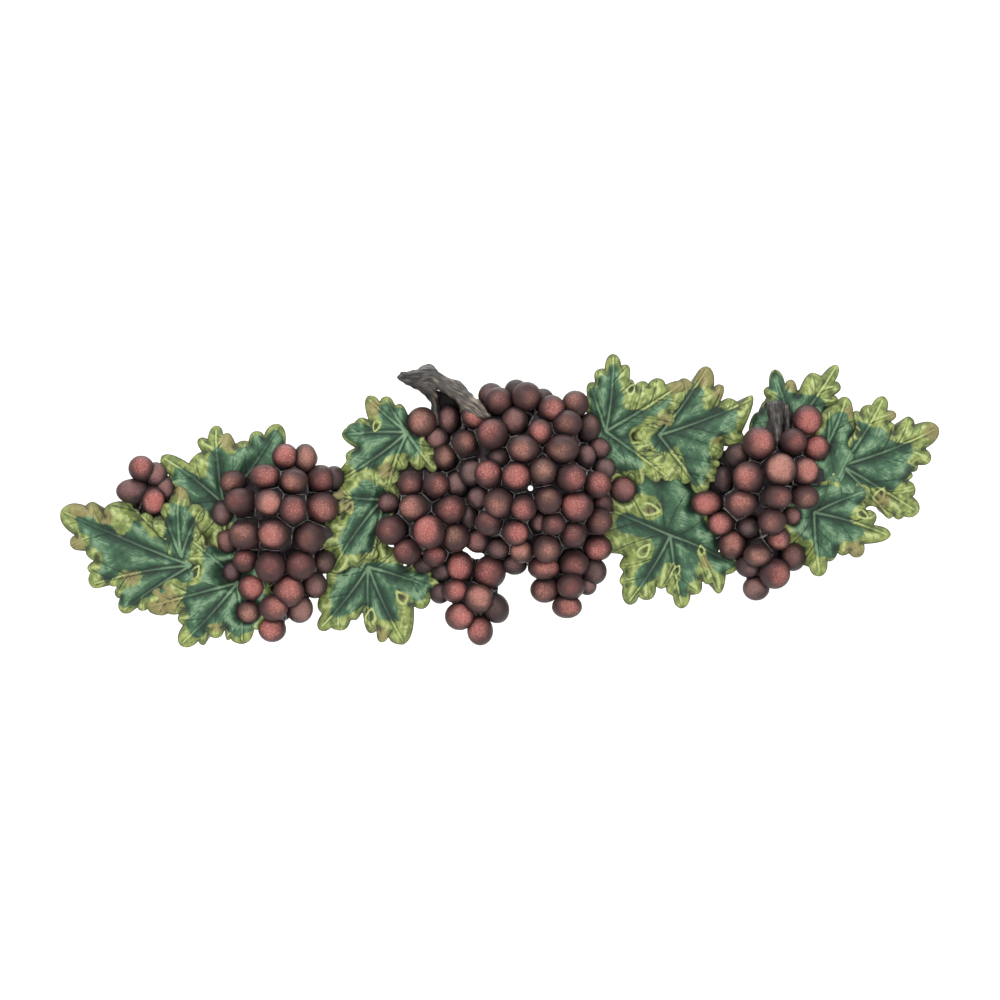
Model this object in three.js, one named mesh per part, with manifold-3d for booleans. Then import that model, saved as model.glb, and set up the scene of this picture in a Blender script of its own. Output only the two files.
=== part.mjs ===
// A wall swag cast in one piece of resin: three bunches of grapes and a small one, vine leaves
// between and behind them, and a woody stem at the top of the middle bunch.
// Millimetres, +Z up, X along the swag. The back is flat against the wall at y = 0 and the relief
// stands out towards -Y, so a depth is the distance in front of the wall.

import * as THREE from 'three';
import { mergeVertices } from 'three/addons/utils/BufferGeometryUtils.js';
import Module from 'manifold-3d';

const wasm = await Module();
wasm.setup();

// ---- Driving dimensions ----

const grapeRadius = 9;
const grapeSpread = 0.1;      // a grape's radius varies by this share, up and down
const grapeGap = 0.1;         // neighbouring grapes stay this far apart
const grapeSides = 7;
const rearSides = 6;
const grapeRings = [-14, 38]; // degrees above the grape's waist, seen from the body behind it
const grapeTail = 1.55;       // the hidden tail reaches this many radii back
const tailEnd = 1;            // but stays this far off the wall
const rearStep = 9;           // grapes of the rear layer sit this much nearer the wall
const rimDepth = 10;          // centre depth of the grapes at the edge of a bunch

const coreSink = 5;           // the body under a bunch lies this far behind the grape centres
const coreReach = 0.93;       // and reaches this share of the bunch's swell
const coreSides = 10;
const coreRise = 40;          // degrees up to the ring between its foot and its pole

const toothPitch = 8.1;       // spacing of the rounded teeth along a leaf's lobes
const toothRadius = 4.2;
const toothedShare = 0.56;    // teeth run down this share of a lobe from its tip
const lobeHalfWidth = 8;
const tipBlunt = 0.25;        // a lobe's round tip grows this far from a tooth to the full width
const shoulderBlunt = 0.62;   // and its first pair of teeth this far
const ribMargin = 3;          // the blade's own discs stay this far inside the teeth
const heartRadius = 12;       // the blade round the point where the veins meet
const wideNotch = 1.2;        // radians between two lobes, past which the blade fills half as much

const outlineSteps = 360;
const rimTolerance = 1.9;     // straight stretches of a leaf's rim may miss the curve by this
const footTolerance = 6;      // the same for its outline on the wall
const bendTolerance = 10;     // and for the bend between the middle and the rim
const footScale = 0.9;        // a leaf's outline on the wall, as a share of its rim
const bendScale = 0.55;       // the bend, as a share of the rim
const bendRise = 1.5;         // the bend stands this much in front of the leaf's lift
const heartDip = 1;           // the middle lies this much behind it
const rimDroop = 3;           // and the rim this much
const limbSides = 8;

// ---- Bunches ----
// A swell is [x, z, half width, half height, depth]: a dome whose surface the grape centres follow.
// A row is [x, z] for one grape, or [x, z, x2, z2, count] for a row from the first to the last.

const bunches = [
  {
    name: 'middle',
    swells: [
      [22, 14, 66, 72, 43], [-50, -12, 36, 38, 31], [-34, 46, 28, 26, 22],
      [-20, -64, 24, 26, 22], [46, -56, 22, 26, 22],
    ],
    front: [
      [0, 68, 18, 71, 2], [34, 64, 51, 66, 2], [-53, 53, -18, 58, 3], [-42, 42, -24, 39, 2],
      [-5, 46, 60, 51, 5], [-38, 30], [17, 35, 67, 31, 3], [-61, 13, -42, 9, 2], [-8, 17, 48, 16, 4],
      [66, 11],
      [-75, -2, -33, -6, 3], [-1, -1, 53, -3, 4], [-74, -21, -30, -25, 3], [-8, -17, 66, -17, 5],
      [-63, -35, -44, -37, 2], [15, -34, 66, -32, 4], [-27, -46, -7, -50, 2], [11, -46, 30, -47, 2],
      [-30, -61, -14, -67, 2], [30, -61, 47, -60, 2], [-28, -78], [-13, -89], [47, -73],
    ],
    rear: [
      [-5, 73, 28, 72, 3], [70, 21], [84, 8], [70, 0], [64, -48], [-40, -64], [-3, -74], [58, -60],
      [-14, 2], [-21, -12], [-14, -28, -2, -33, 2],
    ],
  },
  {
    name: 'left',
    swells: [[-151, -14, 40, 52, 33], [-154, -60, 26, 32, 24]],
    front: [
      [-146, 30], [-182, 12], [-159, 15, -123, 14, 3], [-176, -1], [-157, -2, -140, -6, 2],
      [-174, -24, -129, -25, 3], [-173, -41], [-155, -45, -136, -45, 2], [-169, -59, -143, -61, 2],
      [-171, -76, -154, -74, 2], [-156, -88],
    ],
    rear: [
      [-132, 29], [-112, 13], [-121, -5], [-189, -9], [-186, -28], [-182, -48], [-119, -42],
      [-127, -57], [-135, -75],
    ],
  },
  {
    name: 'right',
    swells: [[180, 8, 42, 52, 33], [176, -42, 26, 28, 24]],
    front: [
      [209, 54], [199, 40, 215, 36, 2], [175, 38], [189, 20, 206, 19, 2], [167, 17],
      [188, 2, 206, 2, 2], [141, -2, 163, -2, 2], [184, -15], [151, -16], [158, -30], [189, -26],
      [175, -36], [186, -49],
    ],
    rear: [[160, 30], [153, 15], [198, -11], [199, -38], [169, -46], [175, -60]],
  },
  {
    name: 'farLeft',
    swells: [[-240, 8, 20, 20, 12]],
    front: [[-244, 21], [-236, -1], [-252, 5]],
    rear: [[-233, 17], [-227, 8]],
  },
];

// ---- Leaves ----
// at: where the veins meet, lift: depth there, slope: how the depth grows along x and z,
// web: how far the blade fills the notch between two lobes, as a share of their length.
// A lobe is [direction in degrees counter-clockwise from +X, length, half width if not the usual].

const leaves = [
  {
    name: 'leftTip', at: [-213, -42.5], lift: 18, slope: [0.08, 0], web: 0.72,
    lobes: [
      [160, 93, 13], [148, 76], [170, 79], [187, 68.5, 9], [197, 60], [212, 58, 10], [231, 42],
      [143, 66, 7], [133, 61], [20, 22, 10],
    ],
  },
  {
    name: 'leftUpright', at: [-216.4, -38.4], lift: 15, slope: [0, 0], web: 0.6,
    lobes: [[90, 47, 8], [113, 35.5, 7], [65, 36, 7], [142, 27], [300, 12]],
  },
  {
    name: 'leftTop', at: [-185.8, -2.4], lift: 12, slope: [0, 0], web: 0.66,
    lobes: [
      [147.5, 54], [138, 49], [117, 42, 7], [98, 53, 9], [80, 45], [68, 52], [56.5, 64, 11],
      [170, 36], [225, 28, 12], [300, 25, 12],
    ],
  },
  {
    name: 'leftBottom', at: [-178.4, -56.1], lift: 20, slope: [0, 0], web: 0.62,
    lobes: [
      [235, 54, 9], [221, 53], [244, 46.5, 7], [261, 40], [278, 41, 11], [188, 58], [199, 59],
      [138, 45], [126, 40], [152, 37], [168, 34], [40, 25, 12],
    ],
  },
  {
    name: 'middleTop', at: [-62.9, 45.9], lift: 22, slope: [0.03, 0], web: 0.55,
    lobes: [
      [140, 36.5, 6], [121, 27.5, 5], [104, 19, 5], [180, 43.5, 9], [166, 35, 6], [217, 56.5, 11],
      [202, 44], [251, 42.7, 9], [305, 31.5, 7], [291, 26, 5], [324, 24, 6],
    ],
  },
  {
    name: 'middleSide', at: [-79.8, 0.3], lift: 18, slope: [-0.04, 0], web: 0.76,
    lobes: [
      [235, 60, 9], [220, 52, 6], [204, 43, 7], [173, 34, 8], [260, 41, 8], [100, 26, 12],
      [330, 16, 10],
    ],
  },
  {
    name: 'middleBottom', at: [-90, -43.1], lift: 14, slope: [0.06, 0], web: 0.56,
    lobes: [
      [339.5, 51.5], [355, 43], [325, 48, 7], [309, 47, 7], [295, 61.5, 11], [279, 54, 9], [247, 48.5],
      [233.5, 55.5, 7], [219, 42, 7], [203, 31], [38, 24], [120, 16, 10],
    ],
  },
  {
    name: 'innerTop', at: [71.7, 46.5], lift: 22, slope: [0, 0], web: 0.54,
    lobes: [
      [84.5, 53], [100, 41.5, 6], [113, 33.5, 6], [72, 46.5, 6], [50, 47, 9], [33.5, 61.5, 10],
      [325.5, 50.5, 9], [308, 45], [287, 33], [200, 18, 10],
    ],
  },
  {
    name: 'innerSide', at: [115.2, 45.2], lift: 18, slope: [0.08, 0], web: 0.6,
    lobes: [
      [60, 51.5, 9], [43, 48.5, 6], [74, 40], [27, 57, 7], [17, 62], [7, 57], [355, 49, 7],
      [338, 38], [322, 42, 7], [297, 47, 9], [280, 36], [180, 14, 9],
    ],
  },
  {
    name: 'innerBottom', at: [115.9, -24.1], lift: 14, slope: [0, 0], web: 0.54,
    lobes: [
      [239, 54, 9], [226, 48], [252, 45], [277.5, 49.5, 9], [294, 44, 6], [311, 52], [330, 50.5, 9],
      [152, 43.5, 9], [168, 43, 9], [185, 43, 9], [198, 41], [126, 36], [80, 38, 14], [10, 38, 12],
    ],
  },
  {
    name: 'rightTop', at: [199.4, 48.6], lift: 12, slope: [0, 0], web: 0.66,
    lobes: [
      [104.5, 41, 6], [122, 32.5, 6], [90, 32.5, 5], [69, 39.5, 7], [54, 52, 8], [42, 43, 6],
      [153, 28], [290, 24, 12],
    ],
  },
  {
    name: 'rightInner', at: [222.5, 37], lift: 15, slope: [0, 0], web: 0.7,
    lobes: [[68.5, 34.5], [51, 31, 6], [88, 28], [300, 24, 12], [200, 16, 10]],
  },
  {
    name: 'rightTip', at: [238.8, 22.8], lift: 17, slope: [-0.08, 0], web: 0.7,
    lobes: [
      [65.5, 52, 9], [49, 47, 6], [39, 52, 6], [24, 65.5, 10], [6, 54], [344, 45, 7], [332, 53, 7],
      [321.5, 54.5, 7], [308, 44], [180, 24, 14],
    ],
  },
  {
    name: 'rightBottom', at: [213, -8.5], lift: 21, slope: [0, 0], web: 0.74,
    lobes: [
      [345.5, 53], [357, 41, 6], [319, 44], [303, 35, 6], [276, 42.5], [288, 35, 6], [19, 40, 9],
      [36, 30], [225, 22], [180, 16, 10],
    ],
  },
];

// ---- Stems ----
// Limbs are [x, depth, z, radius] from end to end.

const limbs = [
  [[-70, 16, 83, 4.5], [-56, 19, 85, 8], [-46, 21, 86, 9.5], [-30, 24, 76, 8.5], [-10, 26, 62, 9]],
  [[-50, 17, 84, 5], [-45, 15, 72, 4], [-42, 14, 56, 4]],
  [[188, 16, 67, 6], [188, 20, 42, 6]],
  [[196, 15, 66, 4.5], [196, 18, 42, 4.5]],
];

// ---- Helpers ----

// A repeatable number from 0 to 1 for a pair of whole numbers.
function scatter(a, b) {
  const wave = Math.sin(a * 127.1 + b * 311.7) * 43758.5453;
  return wave - Math.floor(wave);
}

function solidOf(geometry) {
  geometry.deleteAttribute('normal');
  geometry.deleteAttribute('uv');
  const merged = mergeVertices(geometry, 1e-4);
  const vertProperties = new Float32Array(merged.attributes.position.array);
  const triVerts = new Uint32Array(merged.index.array);
  return new wasm.Manifold(new wasm.Mesh({ numProp: 3, vertProperties, triVerts }));
}

function geometryOf(solid) {
  const mesh = solid.getMesh();
  const geometry = new THREE.BufferGeometry();
  geometry.setAttribute('position', new THREE.BufferAttribute(mesh.vertProperties, 3));
  geometry.setIndex(new THREE.BufferAttribute(mesh.triVerts, 1));
  geometry.computeVertexNormals();
  return geometry;
}

function joinAll(solids) {
  return solids.reduce((whole, piece) => whole.add(piece));
}

// A closed skin over rings of points, each ring as long as the next, with a point at each end.
function skin(rings, firstEnd, lastEnd) {
  const count = rings[0].length;
  const points = [firstEnd, ...rings.flat(), lastEnd];
  const index = [];
  const last = points.length - 1;
  for (let i = 0; i < count; i += 1) {
    const next = (i + 1) % count;
    index.push(0, 1 + next, 1 + i);
    for (let ring = 0; ring < rings.length - 1; ring += 1) {
      const a = 1 + ring * count;
      const b = a + count;
      index.push(a + i, a + next, b + i, a + next, b + next, b + i);
    }
    const end = 1 + (rings.length - 1) * count;
    index.push(last, end + i, end + next);
  }
  const geometry = new THREE.BufferGeometry();
  geometry.setAttribute('position', new THREE.Float32BufferAttribute(points.flat(), 3));
  geometry.setIndex(index);
  return solidOf(geometry);
}

// ---- Bunches of grapes ----

// The swell that carries a place, as the one that stands out most there, and its outward direction.
function swellAt(swells, x, z) {
  const found = swells.map(([cx, cz, halfWidth, halfHeight, top]) => {
    const share = 1 - ((x - cx) / halfWidth) ** 2 - ((z - cz) / halfHeight) ** 2;
    const depth = share > 0 ? top * Math.sqrt(share) : share;
    const out = new THREE.Vector3(
      (x - cx) / halfWidth ** 2,
      -Math.max(depth, rimDepth) / top ** 2,
      (z - cz) / halfHeight ** 2,
    );
    return { depth, out: out.normalize() };
  });
  return found.reduce((best, swell) => (swell.depth > best.depth ? swell : best));
}

function placesInRow([x, z, x2 = x, z2 = z, count = 1]) {
  return Array.from({ length: count }, (_, i) => {
    const along = count > 1 ? i / (count - 1) : 0;
    return [x + (x2 - x) * along, z + (z2 - z) * along];
  });
}

// Where each grape of a bunch sits, and how big it can be without biting into its neighbours.
function grapesOf({ swells, front, rear }, bunchIndex) {
  const layers = [[front, 0], [rear, rearStep]];
  const grapes = layers.flatMap(([rows, step]) => rows.flatMap(placesInRow).map(([x, z], i) => {
    const { depth, out } = swellAt(swells, x, z);
    const centre = new THREE.Vector3(x, -Math.max(rimDepth, depth - step), z);
    const vary = scatter(100 * bunchIndex + 50 * (step > 0) + i, 1);
    const radius = grapeRadius * (1 + grapeSpread * (2 * vary - 1));
    return { centre, out, radius, sides: step > 0 ? rearSides : grapeSides };
  }));
  for (const grape of grapes) {
    for (const other of grapes) {
      const apart = grape.centre.distanceTo(other.centre);
      if (other !== grape) grape.radius = Math.min(grape.radius, (apart - grapeGap) / 2);
    }
  }
  return grapes;
}

// A round grape whose hidden side runs in a cone to the body behind it.
function grapeSolid({ centre, out, radius, sides }) {
  const turn = new THREE.Quaternion().setFromUnitVectors(new THREE.Vector3(0, 0, 1), out);
  const place = (aside, turned, ahead) => new THREE.Vector3(
    aside * Math.cos(turned),
    aside * Math.sin(turned),
    ahead,
  ).multiplyScalar(radius).applyQuaternion(turn).add(centre).toArray();
  const rings = grapeRings.map((degrees, ring) => {
    const rise = THREE.MathUtils.degToRad(degrees);
    return Array.from({ length: sides }, (_, side) => (
      place(Math.cos(rise), (2 * Math.PI * (side + ring / 2)) / sides, Math.sin(rise))
    ));
  });
  const [tailX, tailY, tailZ] = place(0, 0, -grapeTail);
  return skin(rings, [tailX, Math.min(tailY, -tailEnd), tailZ], place(0, 0, 1));
}

// Half a ball with a flat base, for the body behind the grapes.
const coreBend = THREE.MathUtils.degToRad(coreRise);
const coreProfile = [
  new THREE.Vector2(0, 0),
  new THREE.Vector2(1, 0),
  new THREE.Vector2(Math.cos(coreBend), Math.sin(coreBend)),
  new THREE.Vector2(0, 1),
];

function bunchSolid(bunch, bunchIndex) {
  const cores = bunch.swells.map(([x, z, halfWidth, halfHeight, depth]) => {
    const core = new THREE.LatheGeometry(coreProfile, coreSides);
    core.rotateX(Math.PI);
    core.scale(halfWidth * coreReach, depth - coreSink, halfHeight * coreReach);
    core.translate(x, 0, z);
    return solidOf(core);
  });
  return joinAll([...cores, ...grapesOf(bunch, bunchIndex).map(grapeSolid)]);
}

// ---- Leaves ----

// The discs whose outer edge is a leaf's outline: a body along each lobe's rib, a round tip and
// pairs of round teeth on its two sides.
function leafDiscs(lobes) {
  const discs = [];
  for (const [direction, length, halfWidth = lobeHalfWidth] of lobes) {
    const angle = THREE.MathUtils.degToRad(direction);
    const place = (along, aside, radius) => discs.push([
      along * Math.cos(angle) - aside * Math.sin(angle),
      along * Math.sin(angle) + aside * Math.cos(angle),
      radius,
    ]);
    const tipRadius = THREE.MathUtils.lerp(toothRadius, halfWidth, tipBlunt);
    const tip = length - tipRadius;
    place(tip, 0, tipRadius);
    const pairs = Math.floor((toothedShare * length) / toothPitch);
    for (let pair = 1; pair <= pairs; pair += 1) {
      const along = tip - pair * toothPitch;
      const reach = THREE.MathUtils.lerp(tipRadius, halfWidth, pair > 1 ? 1 : shoulderBlunt);
      place(along, reach - toothRadius, toothRadius);
      place(along, toothRadius - reach, toothRadius);
      place(along, 0, reach - ribMargin);
    }
  }
  discs.push([0, 0, heartRadius]);
  return discs;
}

// How far the blade between the two lobes beside a direction reaches.
function webReach(lobes, angle, web) {
  const around = (direction) => (2 * Math.PI + direction) % (2 * Math.PI);
  const sides = lobes.map(([direction, length]) => [THREE.MathUtils.degToRad(direction), length]);
  const [before, beforeLength] = sides.reduce((best, side) => (
    around(angle - side[0]) < around(angle - best[0]) ? side : best));
  const [after, afterLength] = sides.reduce((best, side) => (
    around(side[0] - angle) < around(best[0] - angle) ? side : best));
  const gap = around(after - before) || 2 * Math.PI;
  const share = around(angle - before) / gap;
  const fill = gap < wideNotch ? web : web / 2;
  return fill * THREE.MathUtils.lerp(beforeLength, afterLength, share);
}

// How far a leaf reaches from the point where its veins meet, in a direction in radians.
function leafReach(discs, angle) {
  let reach = 0;
  for (const [x, z, radius] of discs) {
    const along = x * Math.cos(angle) + z * Math.sin(angle);
    const aside = x * Math.sin(angle) - z * Math.cos(angle);
    const half = radius ** 2 - aside ** 2;
    if (half > 0) reach = Math.max(reach, along + Math.sqrt(half));
  }
  return reach;
}

// Keeps the corners of a closed outline that stand off the line between their neighbours.
function thinned(points, tolerance) {
  const keep = (from, to) => {
    let worst = tolerance;
    let corner = -1;
    const [ax, az] = points[from];
    const [bx, bz] = points[to % points.length];
    const length = Math.hypot(bx - ax, bz - az) || 1;
    for (let i = from + 1; i < to; i += 1) {
      const [x, z] = points[i];
      const off = Math.abs((bx - ax) * (z - az) - (bz - az) * (x - ax)) / length;
      if (off > worst) {
        worst = off;
        corner = i;
      }
    }
    return corner < 0 ? [from] : [...keep(from, corner), ...keep(corner, to)];
  };
  const half = Math.floor(points.length / 2);
  return [...keep(0, half), ...keep(half, points.length)].map((i) => points[i]);
}

// The triangles between two rings of different counts, both ordered by angle about the middle.
function stitch(inner, outer, innerStart, outerStart) {
  const turn = ([x, z]) => (Math.atan2(z, x) + 2 * Math.PI) % (2 * Math.PI);
  const triangles = [];
  let i = 0;
  let o = 0;
  while (i < inner.length || o < outer.length) {
    const nextInner = i < inner.length - 1 ? turn(inner[i + 1]) : 2 * Math.PI + turn(inner[0]);
    const nextOuter = o < outer.length - 1 ? turn(outer[o + 1]) : 2 * Math.PI + turn(outer[0]);
    const a = innerStart + (i % inner.length);
    const b = outerStart + (o % outer.length);
    if (o >= outer.length || (i < inner.length && nextInner < nextOuter)) {
      i += 1;
      triangles.push([a, b, innerStart + (i % inner.length)]);
    } else {
      o += 1;
      triangles.push([a, b, outerStart + (o % outer.length)]);
    }
  }
  return triangles;
}

function leafSolid({ at, lift, slope, web, lobes }) {
  const discs = leafDiscs(lobes);
  const round = Array.from({ length: outlineSteps }, (_, i) => {
    const angle = (2 * Math.PI * i) / outlineSteps;
    const reach = Math.max(leafReach(discs, angle), webReach(lobes, angle, web));
    return [reach * Math.cos(angle), reach * Math.sin(angle)];
  });
  const ring = (tolerance, scale) => thinned(round, tolerance).map(([x, z]) => [scale * x, scale * z]);
  const rim = ring(rimTolerance, 1);
  const foot = ring(footTolerance, footScale);
  const bend = ring(bendTolerance, bendScale);
  const inFront = ([x, z], more) => [x, -(lift + slope[0] * x + slope[1] * z + more), z];
  const points = [
    inFront([0, 0], -heartDip),
    ...bend.map((place) => inFront(place, bendRise)),
    ...rim.map((place) => inFront(place, -rimDroop)),
    ...foot.map(([x, z]) => [x, 0, z]),
    [0, 0, 0],
  ].map(([x, y, z]) => [x + at[0], y, z + at[1]]);
  const rimStart = 1 + bend.length;
  const footStart = rimStart + rim.length;
  const last = points.length - 1;
  const triangles = [
    ...bend.map((_, i) => [0, 1 + i, 1 + ((i + 1) % bend.length)]),
    ...stitch(bend, rim, 1, rimStart),
    ...stitch(rim, foot, rimStart, footStart),
    ...foot.map((_, i) => [last, footStart + ((i + 1) % foot.length), footStart + i]),
  ];
  const geometry = new THREE.BufferGeometry();
  geometry.setAttribute('position', new THREE.Float32BufferAttribute(points.flat(), 3));
  geometry.setIndex(triangles.flat());
  return solidOf(geometry);
}

// ---- Stem ----

function limbSolid(stations) {
  const rings = stations.map(([x, depth, z, radius], i) => {
    const [fromX, fromDepth, fromZ] = stations[Math.max(0, i - 1)];
    const [toX, toDepth, toZ] = stations[Math.min(stations.length - 1, i + 1)];
    const along = new THREE.Vector3(toX - fromX, fromDepth - toDepth, toZ - fromZ).normalize();
    const aside = new THREE.Vector3().crossVectors(along, new THREE.Vector3(0, -1, 0)).normalize();
    const out = new THREE.Vector3().crossVectors(aside, along);
    return Array.from({ length: limbSides }, (_, side) => {
      const turn = (2 * Math.PI * side) / limbSides;
      return new THREE.Vector3(x, -depth, z)
        .addScaledVector(out, radius * Math.cos(turn))
        .addScaledVector(aside, radius * Math.sin(turn))
        .toArray();
    });
  });
  const place = ([x, depth, z]) => [x, -depth, z];
  return skin(rings, place(stations[0]), place(stations[stations.length - 1]));
}

// ---- The swag ----

const relief = joinAll([
  ...bunches.map(bunchSolid),
  ...leaves.map(leafSolid),
  ...limbs.map(limbSolid),
]);
const plaque = new THREE.Mesh(
  geometryOf(relief),
  new THREE.MeshStandardMaterial({ color: 0x6e4a48, roughness: 0.5, metalness: 0 }),
);
plaque.name = 'plaque';

const swag = new THREE.Group();
swag.add(plaque);

export default swag;
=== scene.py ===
"""A wall swag of hand-painted cast resin: bunches of grapes, vine leaves and a woody stem.

The layout lists are in millimetres and the scene is in metres. X runs along the swag, +Z is up and
the wall is the plane y = 0, so a depth is a distance in front of it, towards -Y.
"""

import math
from contextlib import contextmanager

import bpy
import numpy as np
from bpy.props import FloatProperty, FloatVectorProperty, PointerProperty
from mathutils import Matrix, Vector


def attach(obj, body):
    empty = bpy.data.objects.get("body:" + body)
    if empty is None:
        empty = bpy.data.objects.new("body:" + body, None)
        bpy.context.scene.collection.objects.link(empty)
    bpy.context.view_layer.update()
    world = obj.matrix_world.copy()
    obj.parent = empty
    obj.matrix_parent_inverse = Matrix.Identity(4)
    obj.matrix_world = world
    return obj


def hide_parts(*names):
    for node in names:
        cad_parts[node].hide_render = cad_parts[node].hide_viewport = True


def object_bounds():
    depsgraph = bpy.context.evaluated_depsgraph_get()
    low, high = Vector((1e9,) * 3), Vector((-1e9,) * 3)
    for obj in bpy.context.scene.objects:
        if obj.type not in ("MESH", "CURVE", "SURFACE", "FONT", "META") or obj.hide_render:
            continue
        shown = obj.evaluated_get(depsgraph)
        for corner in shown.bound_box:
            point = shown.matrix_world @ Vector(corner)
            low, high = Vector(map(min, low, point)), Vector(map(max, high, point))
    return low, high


bl_info = {
    "name": "Grape and vine-leaf wall swag",
    "version": (1, 0, 0),
    "blender": (4, 5, 0),
    "location": "3D View > Sidebar > Swag",
    "description": "Models and paints a cast-resin wall swag of grapes and vine leaves",
    "category": "Object",
}

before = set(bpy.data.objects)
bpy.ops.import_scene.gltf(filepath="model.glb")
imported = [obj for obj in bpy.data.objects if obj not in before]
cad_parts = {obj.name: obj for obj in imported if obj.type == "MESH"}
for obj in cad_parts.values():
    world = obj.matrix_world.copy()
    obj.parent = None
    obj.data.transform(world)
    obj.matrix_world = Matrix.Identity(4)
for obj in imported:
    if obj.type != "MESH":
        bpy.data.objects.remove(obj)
cad_low, cad_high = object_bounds()

MM = 0.001
TAU = math.tau
FAR = 1e3  # further than any place on the swag, in millimetres
BATCH = 4000  # places measured at a time, so that the tables stay small
LEAST_DEPTH = 3  # the shallowest that any painted surface may lie, in millimetres
SATIN = 0.25  # specular level of thin acrylic, low enough that rounded edges stay dark

# ---- Bunches ----
# A swell is [x, z, half width, half height, depth]: a dome whose surface the grape centres follow.
# A grape is [x, z, half width, half height], and its tilt in degrees where it leans.
# body: the line round the dark body that the grapes sit in.
# A hole is [x, z, radius]: a place between grapes where the casting is open right through.

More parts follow.
